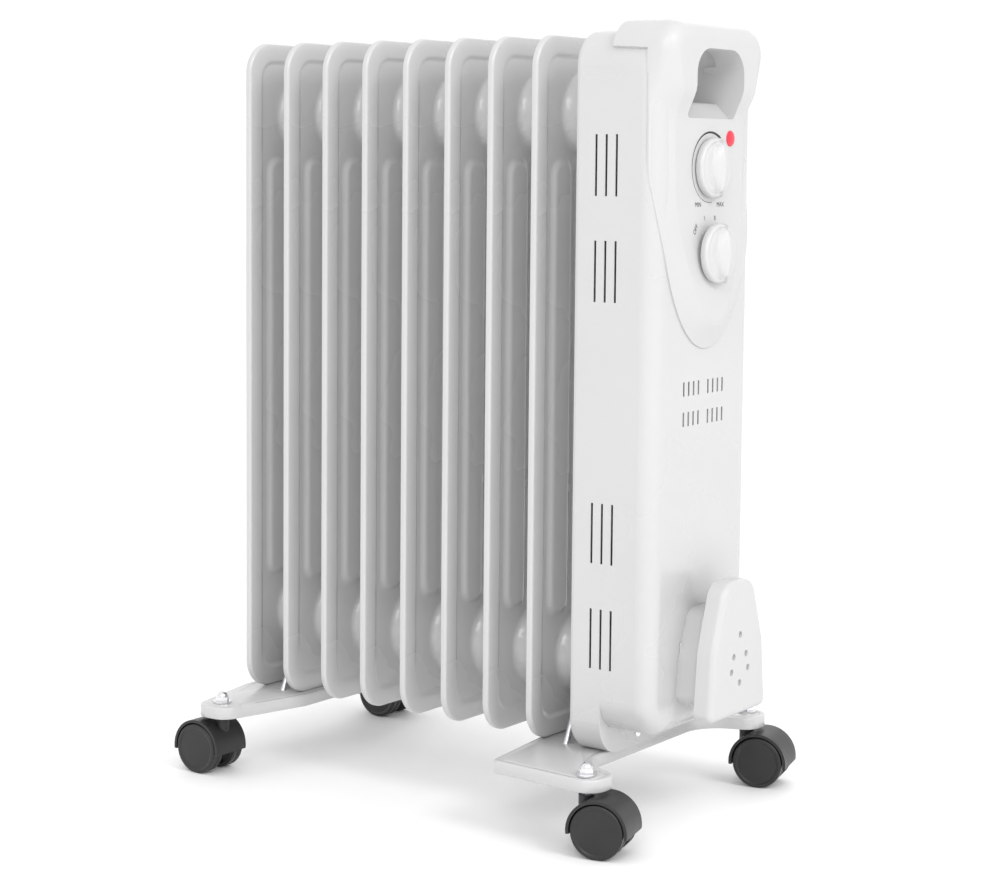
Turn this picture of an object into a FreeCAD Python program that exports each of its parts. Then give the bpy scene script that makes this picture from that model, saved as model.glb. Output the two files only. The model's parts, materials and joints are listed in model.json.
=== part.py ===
import FreeCAD, Part
import math
import os
import re
import Sketcher

# Oil filled radiator on twin-wheel casters.
# Frame: X runs along the stack of fins towards the control end, Z is up and Z = 0 is the floor.
# The origin lies on the floor, under the middle of the whole heater.

DOC = FreeCAD.newDocument("oil_radiator")
FIN_COUNT = 9
VENT_COUNT = 4
# Heights above the fins' foot: the lower ends of the side louvres and of the vents in the end face.
LOUVRE_ROWS = (69.0, 151.5, 353.8, 434.8)
VENT_ROWS = (257.5, 281.0)
# Plug parking holes in the cord wrap's cap: from the middle, and above the fins' foot.
PLUG_HOLES = ((0, 95.0), (-9.5, 78.6), (9.5, 78.6), (-12.7, 67.0), (12.7, 67.0), (0, 57.0))

# name: (millimetres or degrees, what it is)
SIZES = {
    "ground_gap": (59.0, "floor to the lowest point of the fins"),
    "first_fin_x": (-208.5, "middle plane of the first fin"),
    "fin_pitch": (42.4, "from fin to fin"),
    "fin_height": (560.0, "height of a fin"),
    "fin_depth": (145.0, "front to back of a fin"),
    "fin_corner": (26.0, "corner radius of a fin seen from its end"),
    "rim_width": (18.0, "thickness of the rolled rim"),
    "rim_band": (16.0, "how far the rim reaches into the fin"),
    "rim_nose": (7.0, "rounding of the rim's outer edges"),
    "web_thickness": (6.0, "thickness of the fin inside its rim"),
    "fin_wall": (0.5, "steel sheet of a fin"),
    "header_inset": (62.0, "header axis from the fin's end"),
    "header_radius": (34.0, "pressed boss round a header"),
    "boss_width": (30.0, "thickness over the two bosses of a fin"),
    "bore_radius": (24.0, "oil passage through the headers"),
    "collar_radius": (27.0, "weld collar between two fins"),
    "channel_width": (28.5, "raised oil channel"),
    "channel_pitch": (34.5, "from channel to channel"),
    "channel_corner": (12.0, "rounding of a channel's ends"),
    "channel_thickness": (13.0, "thickness over the two halves of a channel"),
    "channel_inset": (98.0, "channel's end from the fin's end"),
    "cap_thickness": (2.5, "disc that closes a header"),
    "plug_flats": (17.0, "filler plug across corners, halved"),
    "element_radius": (30.0, "flange of the heating element"),
    "flange_thickness": (6.0, "flange of the heating element"),
    "flange_hexagon": (19.0, "flange's hexagon across corners, halved"),
    "gasket_thickness": (1.5, "gasket under the flange"),
    "rod_radius": (4.0, "sheath of the heating rod"),
    "rod_spread": (10.0, "half the distance between a rod's legs"),
    "rod_level": (8.0, "rod's height above or below the header axis"),
    "rod_end_gap": (30.0, "bend of the rods from the first fin"),
    "cover_reach": (67.0, "end face from the ninth fin's middle"),
    "cover_overlap": (3.4, "how far the cover reaches back past the ninth fin's middle"),
    "cover_gap": (0.4, "air between the cover and the ninth fin"),
    "cover_wall": (0.9, "steel sheet of the cover"),
    "cover_edge": (14.0, "rounding of the cover's end face"),
    "step_back": (45.0, "raised part of the cover's underside, from the end face"),
    "step_rise": (18.0, "how far that part is raised"),
    "screw_radius": (2.0, "cover's screws"),
    "screw_length": (8.0, "cover's screws behind the sheet"),
    "slot_width": (2.0, "side louvre"),
    "slot_height": (47.0, "side louvre"),
    "slot_pitch": (9.2, "from louvre to louvre"),
    "slot_group_x": (45.2, "middle louvre from the end face"),
    "vent_width": (2.3, "end face louvre"),
    "vent_height": (11.0, "end face louvre"),
    "vent_pitch": (7.4, "from louvre to louvre"),
    "vent_start": (7.3, "first louvre from the middle"),
    "panel_wall": (2.5, "moulding of the control panel"),
    "panel_tip": (317.0, "lowest point of the panel above the fins' foot"),
    "panel_tip_half": (30.0, "half width of the panel's flat foot, before rounding"),
    "panel_tip_round": (44.0, "rounding of the panel's foot"),
    "panel_nose": (18.0, "slope under the panel's tip"),
    "panel_hip": (411.0, "where the panel's flank turns upright, above the fins' foot"),
    "panel_flank": (220.0, "rounding of the panel's flank"),
    "panel_shoulder": (528.0, "where the panel starts to reach round the cover's edge"),
    "panel_back": (10.0, "how far the upper panel reaches behind the end face"),
    "panel_waist": (2.5, "panel's face in front of the end face at the dials"),
    "waist_low": (425.0, "where the face comes down to the waist, above the fins' foot"),
    "waist_high": (492.0, "where the face leaves the waist, above the fins' foot"),
    "panel_chin": (11.0, "panel's face in front of the end face at its tip"),
    "panel_bulge": (11.5, "handle's front beyond the end face"),
    "bulge_low": (518.0, "where the face reaches the handle's front, above the fins' foot"),
    "slab_reach": (41.0, "top slab behind the end face"),
    "slab_thickness": (7.5, "top slab above the cover"),
    "handle_sill": (495.0, "floor of the handle opening"),
    "handle_lintel": (548.0, "underside of the handle"),
    "handle_half": (36.0, "half width of the handle opening"),
    "handle_corner": (20.0, "rounding of the opening's upper corners"),
    "handle_depth": (37.0, "opening's back wall behind the end face"),
    "handle_bar": (13.0, "handle's back behind the end face"),
    "dial_radius": (23.0, "both knobs"),
    "dial_skirt": (7.0, "thickness of a knob's disc"),
    "dial_grip": (14.0, "thickness over the knob's grip"),
    "grip_width": (14.0, "knob's grip"),
    "grip_length": (41.0, "knob's grip"),
    "dial_gap": (0.8, "knob from the panel's face"),
    "thermostat_z": (457.0, "thermostat axis above the fins' foot"),
    "thermostat_face": (2.5, "panel's face there"),
    "selector_z": (391.0, "selector axis above the fins' foot"),
    "selector_face": (7.9, "panel's face there"),
    "shaft_radius": (3.0, "control shafts"),
    "shaft_play": (0.05, "running clearance of a shaft"),
    "shaft_grip": (9.0, "how far a shaft reaches into its control"),
    "control_depth": (22.0, "body of a control"),
    "control_size": (34.0, "body of a control, square"),
    "neck_radius": (4.4, "threaded neck of a control"),
    "neck_length": (12.0, "threaded neck of a control"),
    "bracket_sheet": (1.2, "steel plate that holds the controls"),
    "bracket_low": (362.0, "foot of that plate above the fins' foot"),
    "bracket_high": (468.0, "top of that plate above the fins' foot"),
    "lens_y": (31.0, "pilot lens from the middle"),
    "lens_z": (480.0, "pilot lens above the fins' foot"),
    "lens_radius": (6.2, "pilot lens"),
    "lens_stand": (2.0, "pilot lens in front of the face"),
    "lamp_radius": (4.0, "pilot lamp"),
    "lamp_length": (18.0, "pilot lamp"),
    "cutout_radius": (11.0, "over-temperature cut-out"),
    "terminal_z": (224.0, "terminal block above the fins' foot"),
    "wrap_reach": (37.0, "cord wrap's face from the end face"),
    "wrap_depth": (16.0, "depth of the cord wrap's cap"),
    "wrap_wall": (2.2, "moulding of the cord wrap"),
    "wrap_low": (31.0, "cap's foot above the fins' foot"),
    "wrap_high": (137.0, "cap's top above the fins' foot"),
    "wrap_half": (43.5, "half width of the cap"),
    "core_low": (41.0, "core's foot above the fins' foot"),
    "core_high": (114.0, "core's top above the fins' foot"),
    "core_half": (35.0, "half width of the core that the cord is wound on"),
    "arch_flank": (0.52, "height of an arch's flank, as a share of the arch"),
    "arch_waist": (0.88, "half width there, as a share"),
    "arch_crown": (0.5, "half width of the crown, as a share"),
    "arch_round": (0.36, "rounding of the crown, as a share of the half width"),
    "plug_hole": (2.6, "holes in the cap that park the plug's pins"),
    "gland_radius": (6.5, "cord gland"),
    "foot_sheet": (1.5, "pressed plate of a foot"),
    "foot_flange": (10.0, "height of a foot with its turned edge"),
    "foot_half": (35.0, "half width of a foot under the fins"),
    "foot_taper": (12.0, "how far the front foot narrows towards its ends"),
    "stem_y": (123.0, "caster stems from the middle"),
    "rear_stem_x": (12.0, "rear stems from the first fin"),
    "front_stem_x": (43.0, "front stems beyond the ninth fin"),
    "foot_tip": (16.0, "rounding round a stem"),
    "rear_foot_x": (14.0, "rear foot's middle from the first fin"),
    "front_foot_x": (-17.0, "front foot's middle from the ninth fin"),
    "bolt_radius": (3.0, "U-bolt and caster stem"),
    "bolt_play": (0.3, "clearance of a hole round a bolt"),
    "bolt_grip": (0.5, "U-bolt from the weld collar"),
    "bolt_tail": (11.0, "U-bolt's ends below the foot plate"),
    "wing_height": (7.0, "wing nut"),
    "wing_radius": (5.0, "barrel of a wing nut"),
    "wing_reach": (11.0, "ear of a wing nut from its middle"),
    "nut_flats": (5.8, "cap nut across corners, halved"),
    "nut_flange": (8.0, "washer face of a cap nut"),
    "nut_collar": (2.2, "thickness of that washer face"),
    "nut_height": (5.5, "hexagon of a cap nut"),
    "nut_dome": (4.9, "dome of a cap nut"),
    "wheel_radius": (21.0, "caster wheel"),
    "wheel_inner": (6.6, "wheel's inner face from the caster's middle"),
    "wheel_outer": (18.6, "wheel's outer face from the caster's middle"),
    "wheel_rim": (3.0, "tread of a wheel"),
    "wheel_edge": (1.4, "rounding of a wheel"),
    "wheel_hub": (5.5, "hub of a wheel"),
    "axle_radius": (2.5, "caster axle"),
    "axle_play": (0.05, "running clearance of a wheel"),
    "axle_half": (15.0, "half the axle's length"),
    "hood_gap": (1.0, "wheel to hood"),
    "hood_wall": (2.4, "moulding of the hood"),
    "hood_half": (18.2, "half width of the hood"),
    "hood_drop": (3.0, "hood's lower edge below the axle"),
    "web_half": (2.5, "half thickness of the hood's web"),
    "trail": (14.0, "axle behind the stem"),
    "boss_radius": (6.0, "hood's boss round the stem"),
    "boss_top": (45.0, "top of that boss above the floor"),
    "boss_low": (27.0, "foot of that boss above the floor"),
    "front_heading": (14.0, "front casters, degrees"),
    "rear_heading": (180.0, "rear casters, degrees"),
}

SHEET = DOC.addObject("Spreadsheet::Sheet", "sizes")
PROBE = DOC.addObject("App::FeaturePython", "probe")
PARTS = []


def fill_sheet():
    """Write every driving size into the sheet, one row each."""
    for row, (name, (value, note)) in enumerate(SIZES.items(), start=1):
        SHEET.set(f"A{row}", name)
        SHEET.set(f"B{row}", str(value))
        SHEET.setAlias(f"B{row}", name)
        SHEET.set(f"C{row}", note)
    PROBE.addProperty("App::PropertyFloat", "Reading")
    DOC.recompute()


def formula(text):
    """Turn size names into references to the sheet."""
    return re.sub(r"[A-Za-z_]\w*", lambda m: "sizes." + m[0] if m[0] in SIZES else m[0], str(text))


def reading(text):
    """Number that a formula gives now."""
    PROBE.setExpression("Reading", formula(text))
    PROBE.recompute()
    return PROBE.Reading


def bind(thing, **formulas):
    """Bind properties of an object to formulas; a double underscore stands for a dot."""
    for name, text in formulas.items():
        thing.setExpression(name.replace("__", "."), formula(text))
    return thing


def place(thing, x=0, y=0, z=0):
    """Bind an object's position."""
    return bind(thing, Placement__Base__x=x, Placement__Base__y=y, Placement__Base__z=z)


def sub_part(thing, name):
    """Name an object as a finished sub-part."""
    thing.Label = name
    PARTS.append(thing)
    return thing


FIN_FOOT = "(ground_gap)"
FIN_TOP = "(ground_gap + fin_height)"
HEADERS = {
    "upper": "(ground_gap + fin_height - header_inset)",
    "lower": "(ground_gap + header_inset)",
}
LAST_FIN = f"(first_fin_x + {FIN_COUNT - 1} * fin_pitch)"
END_FACE = f"(first_fin_x + {FIN_COUNT - 1} * fin_pitch + cover_reach)"
COVER_HALF = "(fin_depth / 2 + cover_gap + cover_wall)"
COVER_TOP = "(ground_gap + fin_height + cover_gap + cover_wall)"
COVER_FOOT = "(ground_gap - cover_gap - cover_wall)"
STEP_FACE = f"({END_FACE} - step_back)"
BRACKET_BACK = f"({END_FACE} - cover_edge - bracket_sheet)"
HOOD_RADIUS = "(wheel_radius + hood_gap + hood_wall)"
DIRECTIONS = {
    "X": (FreeCAD.Vector(0, 1, 0), 90),
    "Y": (FreeCAD.Vector(1, 0, 0), -90),
    "Z": (FreeCAD.Vector(0, 0, 1), 0),
}


# ---------------------------------------------------------------- building blocks

def cylinder(name, radius, length, x=0, y=0, z=0, along="Z"):
    """Round bar that starts at x, y, z and runs along an axis."""
    bar = DOC.addObject("Part::Cylinder", name)
    axis, angle = DIRECTIONS[along]
    bar.Placement.Rotation = FreeCAD.Rotation(axis, angle)
    return place(bind(bar, Radius=radius, Height=length), x, y, z)


def block(name, low, high):
    """Box between two corners."""
    box = DOC.addObject("Part::Box", name)
    length, width, height = (f"{end} - ({start})" for start, end in zip(low, high))
    bind(box, Length=length, Width=width, Height=height)
    return place(box, *low)


def hexagon(name, radius, length, x=0, y=0, z=0, along="Z"):
    """Hexagonal bar."""
    bar = DOC.addObject("Part::Prism", name)
    bar.Polygon = 6
    axis, angle = DIRECTIONS[along]
    bar.Placement.Rotation = FreeCAD.Rotation(axis, angle)
    return place(bind(bar, Circumradius=radius, Height=length), x, y, z)


def fused(name, shapes):
    """One solid from several."""
    joined = DOC.addObject("Part::MultiFuse", name)
    joined.Shapes = shapes
    joined.Refine = True
    return joined


def common(name, shapes):
    """What several solids share."""
    shared = DOC.addObject("Part::MultiCommon", name)
    shared.Shapes = shapes
    return shared


def group(name, shapes):
    """Separate solids kept together."""
    kept = DOC.addObject("Part::Compound", name)
    kept.Links = shapes
    return kept


def cut(name, base, tools):
    """Base less its tools, which are grouped when there are several."""
    left = DOC.addObject("Part::Cut", name)
    left.Base = base
    left.Tool = tools[0] if len(tools) == 1 else fused(name + "_tools", tools)
    return left


def rounded(name, base, radius, wanted):
    """Fillet the edges that a test picks."""
    DOC.recompute()
    fillet = DOC.addObject("Part::Fillet", name)
    fillet.Base = base
    size = reading(radius)
    fillet.Edges = [(i, size, size) for i, edge in enumerate(base.Shape.Edges, start=1) if wanted(edge)]
    return fillet


def origin_plane(body, role):
    """One of a body's own origin planes."""
    return next(feature for feature in body.Origin.OriginFeatures if feature.Role == role)


def new_body(name):
    """Empty body."""
    return DOC.addObject("PartDesign::Body", name)


def sketch_on(body, name, plane, offset=0):
    """Sketch on a body's origin plane, moved along the plane's normal."""
    sketch = body.newObject("Sketcher::SketchObject", name)
    sketch.AttachmentSupport = [(origin_plane(body, plane), "")]
    sketch.MapMode = "FlatFace"
    sketch.setExpression("AttachmentOffset.Base.z", formula(offset))
    return sketch


def fix_point(sketch, item, place_on_item, x, y):
    """Bind a point of a sketch to a pair of formulas, measured from the sketch's origin."""
    for kind, text in (("DistanceX", x), ("DistanceY", y)):
        index = sketch.addConstraint(Sketcher.Constraint(kind, -1, 1, item, place_on_item, reading(text)))
        sketch.setExpression(f"Constraints[{index}]", formula(text))


def circle(sketch, x, y, radius):
    """Bound circle."""
    middle = FreeCAD.Vector(reading(x), reading(y), 0)
    item = sketch.addGeometry(Part.Circle(middle, FreeCAD.Vector(0, 0, 1), reading(radius)))
    index = sketch.addConstraint(Sketcher.Constraint("Radius", item, reading(radius)))
    sketch.setExpression(f"Constraints[{index}]", formula(radius))
    fix_point(sketch, item, 3, x, y)


def corner_arc(before, corner, after, radius):
    """Arc of a rounded corner, with its ends on the two sides, and whether it turns left."""
    into, out = (corner - before).normalize(), (after - corner).normalize()
    turn = math.atan2(into.x * out.y - into.y * out.x, into.dot(out))
    reach = radius * math.tan(abs(turn) / 2)
    start, end = corner - into * reach, corner + out * reach
    side = FreeCAD.Vector(-into.y, into.x, 0) * math.copysign(radius, turn)
    centre = start + side
    toward = (corner - centre).normalize()
    return Part.Arc(start, centre + toward * radius, end), start, end, turn > 0


def outline(sketch, corners):
    """Closed outline whose corners are (x, y, radius) formulas; radius None is a sharp corner."""
    points = [FreeCAD.Vector(reading(x), reading(y), 0) for x, y, _ in corners]
    count = len(points)
    arcs = []
    for i, (_, _, radius) in enumerate(corners):
        arcs.append(radius and corner_arc(points[i - 1], points[i], points[(i + 1) % count], reading(radius)))
    lines = []
    for i in range(count):
        start = arcs[i][2] if arcs[i] else points[i]
        end = arcs[(i + 1) % count][1] if arcs[(i + 1) % count] else points[(i + 1) % count]
        lines.append(sketch.addGeometry(Part.LineSegment(start, end)))
    for i, (x, y, radius) in enumerate(corners):
        before, after = lines[i - 1], lines[i]
        if arcs[i] is None:
            sketch.addConstraint(Sketcher.Constraint("Coincident", before, 2, after, 1))
            fix_point(sketch, after, 1, x, y)
            continue
        arc = sketch.addGeometry(arcs[i][0])
        first, last = (1, 2) if arcs[i][3] else (2, 1)
        sketch.addConstraint(Sketcher.Constraint("Tangent", before, 2, arc, first))
        sketch.addConstraint(Sketcher.Constraint("Tangent", arc, last, after, 1))
        index = sketch.addConstraint(Sketcher.Constraint("Radius", arc, reading(radius)))
        sketch.setExpression(f"Constraints[{index}]", formula(radius))
        vertex = sketch.addGeometry(Part.Point(points[i]), True)
        sketch.addConstraint(Sketcher.Constraint("PointOnObject", vertex, 1, before))
        sketch.addConstraint(Sketcher.Constraint("PointOnObject", vertex, 1, after))
        fix_point(sketch, vertex, 1, x, y)


def rounded_box(sketch, half, low, high, radius):
    """Upright rounded rectangle, centred on the sketch's second axis."""
    corners = [(f"-({half})", low), (half, low), (half, high), (f"-({half})", high)]
    outline(sketch, [(x, y, radius) for x, y in corners])


def pad(body, sketch, name, length, symmetric=False):
    """Pad of a sketch, along its normal or to both sides of it."""
    feature = body.newObject("PartDesign::Pad", name)
    feature.Profile = sketch
    if symmetric:
        feature.SideType = "Symmetric"
    return bind(feature, Length=length)


def pipe(name, plane, points, radius):
    """Round bar along a flat route of straight legs and tangent arcs, given as (x, y, bend) formulas."""
    body = new_body(name)
    route = sketch_on(body, name + "_route", plane)
    marks = [FreeCAD.Vector(reading(x), reading(y), 0) for x, y, _ in points]
    start = marks[0]
    previous = None
    for i in range(1, len(points)):
        bend = points[i][2]
        arc = bend and corner_arc(marks[i - 1], marks[i], marks[i + 1], reading(bend))
        leg = route.addGeometry(Part.LineSegment(start, arc[1] if arc else marks[i]))
        if previous:
            route.addConstraint(Sketcher.Constraint("Tangent", previous[0], previous[1], leg, 1))
            route.addConstraint(Sketcher.Constraint("PointOnObject", previous[2], 1, leg))
        else:
            fix_point(route, leg, 1, points[0][0], points[0][1])
        if not arc:
            fix_point(route, leg, 2, points[i][0], points[i][1])
            break
        curve = route.addGeometry(arc[0])
        first, last = (1, 2) if arc[3] else (2, 1)
        route.addConstraint(Sketcher.Constraint("Tangent", leg, 2, curve, first))
        index = route.addConstraint(Sketcher.Constraint("Radius", curve, reading(bend)))
        route.setExpression(f"Constraints[{index}]", formula(bend))
        vertex = route.addGeometry(Part.Point(marks[i]), True)
        route.addConstraint(Sketcher.Constraint("PointOnObject", vertex, 1, leg))
        fix_point(route, vertex, 1, points[i][0], points[i][1])
        previous = (curve, last, vertex)
        start = arc[2]
    section = sketch_on(body, name + "_section", "YZ_Plane" if plane == "XY_Plane" else "XY_Plane")
    return body, route, section, radius


def swept(parts, section_x, section_y, level):
    """Finish a pipe with its round section at the route's start."""
    body, route, section, radius = parts
    section.setExpression("AttachmentOffset.Base.z", formula(level))
    circle(section, section_x, section_y, radius)
    feature = body.newObject("PartDesign::AdditivePipe", body.Name + "_sweep")
    feature.Profile = section
    feature.Spine = route
    return body


# ---------------------------------------------------------------- fins and headers

def fin_form(name, inset, bore):
    """A fin's outer form, or with an inset the space inside its sheet."""
    body = new_body(name)
    half = "fin_depth / 2"
    rim = sketch_on(body, name + "_rim_outline", "YZ_Plane")
    rounded_box(rim, f"{half} - {inset}", inset, f"fin_height - {inset}", f"fin_corner - {inset}")
    rim_pad = pad(body, rim, name + "_rim", f"rim_width - 2 * {inset}", True)
    DOC.recompute()
    nose = body.newObject("PartDesign::Fillet", name + "_nose")
    side = reading(f"rim_width / 2 - {inset}") - 0.1
    edges = [i for i, edge in enumerate(rim_pad.Shape.Edges, start=1) if abs(edge.CenterOfMass.x) > side]
    nose.Base = (rim_pad, [f"Edge{i}" for i in edges])
    bind(nose, Radius=f"rim_nose - {inset}")
    for face, turned in (("front", False), ("back", True)):
        shift = f"web_thickness / 2 - {inset}"
        recess = sketch_on(body, f"{name}_{face}_outline", "YZ_Plane", f"-({shift})" if turned else shift)
        rounded_box(recess, f"{half} - rim_band + {inset}", f"rim_band - {inset}",
                    f"fin_height - rim_band + {inset}", f"fin_corner - rim_band + {inset}")
        hollow = body.newObject("PartDesign::Pocket", f"{name}_{face}_recess")
        hollow.Profile = recess
        bind(hollow, Length="rim_width")
        hollow.Reversed = not turned
    channels = sketch_on(body, name + "_channel_outlines", "YZ_Plane")
    for step in (-1, 0, 1):
        reach = f"channel_width / 2 - {inset}"
        low, high = f"channel_inset + {inset}", f"fin_height - channel_inset - {inset}"
        corners = [(f"{step} * channel_pitch - ({reach})", low), (f"{step} * channel_pitch + {reach}", low),
                   (f"{step} * channel_pitch + {reach}", high), (f"{step} * channel_pitch - ({reach})", high)]
        outline(channels, [(x, y, f"channel_corner - {inset}") for x, y in corners])
    pad(body, channels, name + "_channels", f"channel_thickness - 2 * {inset}", True)
    bosses = sketch_on(body, name + "_boss_outlines", "YZ_Plane")
    holes = sketch_on(body, name + "_bore_outlines", "YZ_Plane") if bore else None
    for level in ("header_inset", "fin_height - header_inset"):
        circle(bosses, 0, level, f"header_radius - {inset}")
        if bore:
            circle(holes, 0, level, "bore_radius")
    last = pad(body, bosses, name + "_bosses", f"boss_width - 2 * {inset}", True)
    if bore:
        last = pad(body, holes, name + "_bores", "boss_width + rim_width", True)
    body.Tip = last
    return body


def make_fins():
    """Nine alike fins, each of two pressed sheets with a hollow rim, channels and bosses."""
    skin = fin_form("fin_skin", "0", False)
    inside = fin_form("fin_inside", "fin_wall", True)
    for i in range(FIN_COUNT):
        fin = cut(f"fin_body_{i + 1}", skin, [inside])
        sub_part(place(fin, f"first_fin_x + {i} * fin_pitch", 0, "ground_gap"), f"fin_{i + 1}")


def ring(name, outer, inner, length, x, z):
    """Ring along X on the middle plane."""
    solid = cylinder(name + "_outside", outer, length, x, 0, z, "X")
    hole = cylinder(name + "_inside", inner, length, x, 0, z, "X")
    return cut(name, solid, [hole])


def make_headers():
    """Weld collars between the fins, the discs that close the open ends and the filler plug."""
    for level, z in HEADERS.items():
        rings = []
        for i in range(FIN_COUNT - 1):
            x = f"first_fin_x + {i} * fin_pitch + boss_width / 2"
            length = "fin_pitch - boss_width"
            rings.append(ring(f"{level}_collar_{i + 1}", "collar_radius", "bore_radius", length, x, z))
        sub_part(group(f"{level}_collar_set", rings), f"{level}_header_collars")
    rear = "first_fin_x - boss_width / 2 - cap_thickness"
    front = f"{LAST_FIN} + boss_width / 2"
    ends = ((rear, HEADERS["upper"]), (rear, HEADERS["lower"]), (front, HEADERS["upper"]))
    caps = [cylinder(f"header_cap_{i}", "collar_radius", "cap_thickness", x, 0, z, "X")
            for i, (x, z) in enumerate(ends)]
    sub_part(group("header_cap_set", caps), "header_caps")
    head_x = f"{rear} - cap_thickness"
    head = hexagon("plug_head", "plug_flats / 2", "cap_thickness", head_x, 0, HEADERS["lower"], "X")
    sub_part(head, "filler_plug")


def make_element():
    """Flanged heating element with two hairpin rods in the lower header."""
    z = HEADERS["lower"]
    seat = f"{LAST_FIN} + boss_width / 2"
    sub_part(ring("gasket", "element_radius", "bore_radius", "gasket_thickness", seat, z), "element_gasket")
    flange_x = f"{seat} + gasket_thickness"
    flange = cylinder("flange_disc", "element_radius", "flange_thickness", flange_x, 0, z, "X")
    neck_x = f"{flange_x} + flange_thickness"
    neck = hexagon("flange_neck", "flange_hexagon", "flange_thickness", neck_x, 0, z, "X")
    sub_part(fused("flange", [flange, neck]), "element_flange")
    rods = []
    for i, side in enumerate((-1, 1)):
        far = "first_fin_x + rod_end_gap"
        bend = "rod_spread - rod_radius / 2"
        points = [(flange_x, "-rod_spread", None), (far, "-rod_spread", bend),
                  (far, "rod_spread", bend), (flange_x, "rod_spread", None)]
        rod = swept(pipe(f"hairpin_{i}", "XY_Plane", points, "rod_radius"), "-rod_spread", "0", flange_x)
        rods.append(place(rod, 0, 0, f"{z} + {side} * rod_level"))
    sub_part(group("hairpins", rods), "heating_rods")


# ---------------------------------------------------------------- control end

def cover_prism(name, inset, back, foot, front):
    """Upright prism of the cover's rounded outline."""
    body = new_body(name)
    face = sketch_on(body, name + "_outline", "YZ_Plane", back)
    rounded_box(face, f"{COVER_HALF} - {inset}", f"{foot} + {inset}", f"{COVER_TOP} - {inset}",
                f"fin_corner + cover_gap + cover_wall - {inset}")
    return body, pad(body, face, name + "_pad", f"{front} - ({back})")


def cover_form(name, inset, back):
    """Cover's outer form, or with an inset the space inside its sheet; its front part stands higher."""
    rear, _ = cover_prism(name + "_rear", inset, back, COVER_FOOT, f"({STEP_FACE} - {inset})")
    front_x = f"({END_FACE} - {inset})"
    body, shell = cover_prism(name + "_front", inset, back, f"({FIN_FOOT} + step_rise)", front_x)
    DOC.recompute()
    end = reading(front_x) - 0.01
    fillet = body.newObject("PartDesign::Fillet", name + "_edge")
    front_edges = [i for i, edge in enumerate(shell.Shape.Edges, start=1) if edge.CenterOfMass.x > end]
    fillet.Base = (shell, [f"Edge{i}" for i in front_edges])
    bind(fillet, Radius=f"cover_edge - {inset}")
    body.Tip = fillet
    return fused(name, [rear, body])


def louvres():
    """Cutters for the side louvres and the end face vents."""
    cutters = []
    for low in LOUVRE_ROWS:
        z = f"({FIN_FOOT} + {low})"
        for column in (-1, 0, 1):
            x = f"({END_FACE} - slot_group_x + {column} * slot_pitch)"
            near = (f"{x} - slot_width / 2", f"-{COVER_HALF} - 1", z)
            far = (f"{x} + slot_width / 2", f"{COVER_HALF} + 1", f"{z} + slot_height")
            cutters.append(block("louvre", near, far))
    for low in VENT_ROWS:
        z = f"({FIN_FOOT} + {low})"
        for side in (-1, 1):
            for column in range(VENT_COUNT):
                y = f"({side} * (vent_start + {column} * vent_pitch))"
                near = (f"{END_FACE} - cover_edge", f"{y} - vent_width / 2", z)
                far = (f"{END_FACE} + 1", f"{y} + vent_width / 2", f"{z} + vent_height")
                cutters.append(block("vent", near, far))
    return cutters


def cover_openings(back):
    """Cutters for the handle, the controls, the panel's edge, the cord gland and the front foot."""
    half = "(handle_half + panel_wall + cover_gap)"
    brow = f"({COVER_TOP} - fin_corner / 2)"
    low, shoulder = f"{FIN_FOOT} + selector_z - dial_radius", f"{FIN_FOOT} + panel_shoulder"
    window = block("cover_window", (f"{END_FACE} - cover_edge", f"-{half}", low), (f"{END_FACE} + 1", half, brow))
    notch = block("cover_notch", (f"{END_FACE} - panel_back", f"-{COVER_HALF} - 1", shoulder),
                  (f"{END_FACE} + 1", f"{COVER_HALF} + 1", f"{COVER_TOP} + 1"))
    hatch = block("cover_hatch", (f"{END_FACE} - handle_depth - panel_wall - cover_gap", f"-{half}", brow),
                  (f"{END_FACE} + 1", half, f"{COVER_TOP} + 1"))
    gland_x, gland_z = f"{END_FACE} - step_back / 2", f"{FIN_FOOT} + step_rise - cover_edge"
    gland = cylinder("gland_hole", "gland_radius", "cover_edge * 2", gland_x, 0, gland_z)
    relief = block("cover_relief", (f"{back} - 1", f"-{COVER_HALF}", f"{COVER_FOOT} - 1"),
                   (f"{LAST_FIN} + front_foot_x + foot_half + 1", COVER_HALF, f"{FIN_FOOT} + cover_gap"))
    return [window, notch, hatch, gland, relief]


def make_cover():
    """Sheet cover over the ninth fin and the controls, with its louvres, openings and screws."""
    back = f"({LAST_FIN} - cover_overlap)"
    outside = cover_form("cover_outside", "0", back)
    inside = cover_form("cover_inside", "cover_wall", f"({back} - 1)")
    shell = cut("cover_shell", outside, [inside])
    screws = []
    holes = []
    for i, side in enumerate((-1, 1)):
        y, z = f"{side} * foot_half / 2", f"{FIN_FOOT} + step_rise / 2"
        inner = f"{STEP_FACE} - screw_length"
        length = "cover_wall + screw_length"
        holes.append(cylinder(f"cover_screw_hole_{i}", "screw_radius", length, inner, y, z, "X"))
        head = cylinder(f"cover_screw_head_{i}", "screw_radius * 2", "cover_wall", STEP_FACE, y, z, "X")
        shank = cylinder(f"cover_screw_shank_{i}", "screw_radius", length, inner, y, z, "X")
        screws.append(fused(f"cover_screw_{i}", [head, shank]))
    sub_part(cut("cover_finished", shell, louvres() + cover_openings(back) + holes), "side_cover")
    sub_part(group("cover_screw_set", screws), "cover_screws")


def make_gland():
    """Cord gland in the raised part of the cover's underside."""
    x, z = f"{END_FACE} - step_back / 2", f"{FIN_FOOT} + step_rise - cover_wall * 2"
    collar = cylinder("gland_flange", "gland_radius + 2", "cover_wall * 2", x, 0, z)
    stem = cylinder("gland_stem", "gland_radius", "step_rise", x, 0, z)
    bore = cylinder("gland_bore", "gland_radius / 2", "step_rise + 2", x, 0, f"{z} - 1")
    sub_part(cut("gland_body", fused("gland_solid", [collar, stem]), [bore]), "cord_gland")


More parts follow.
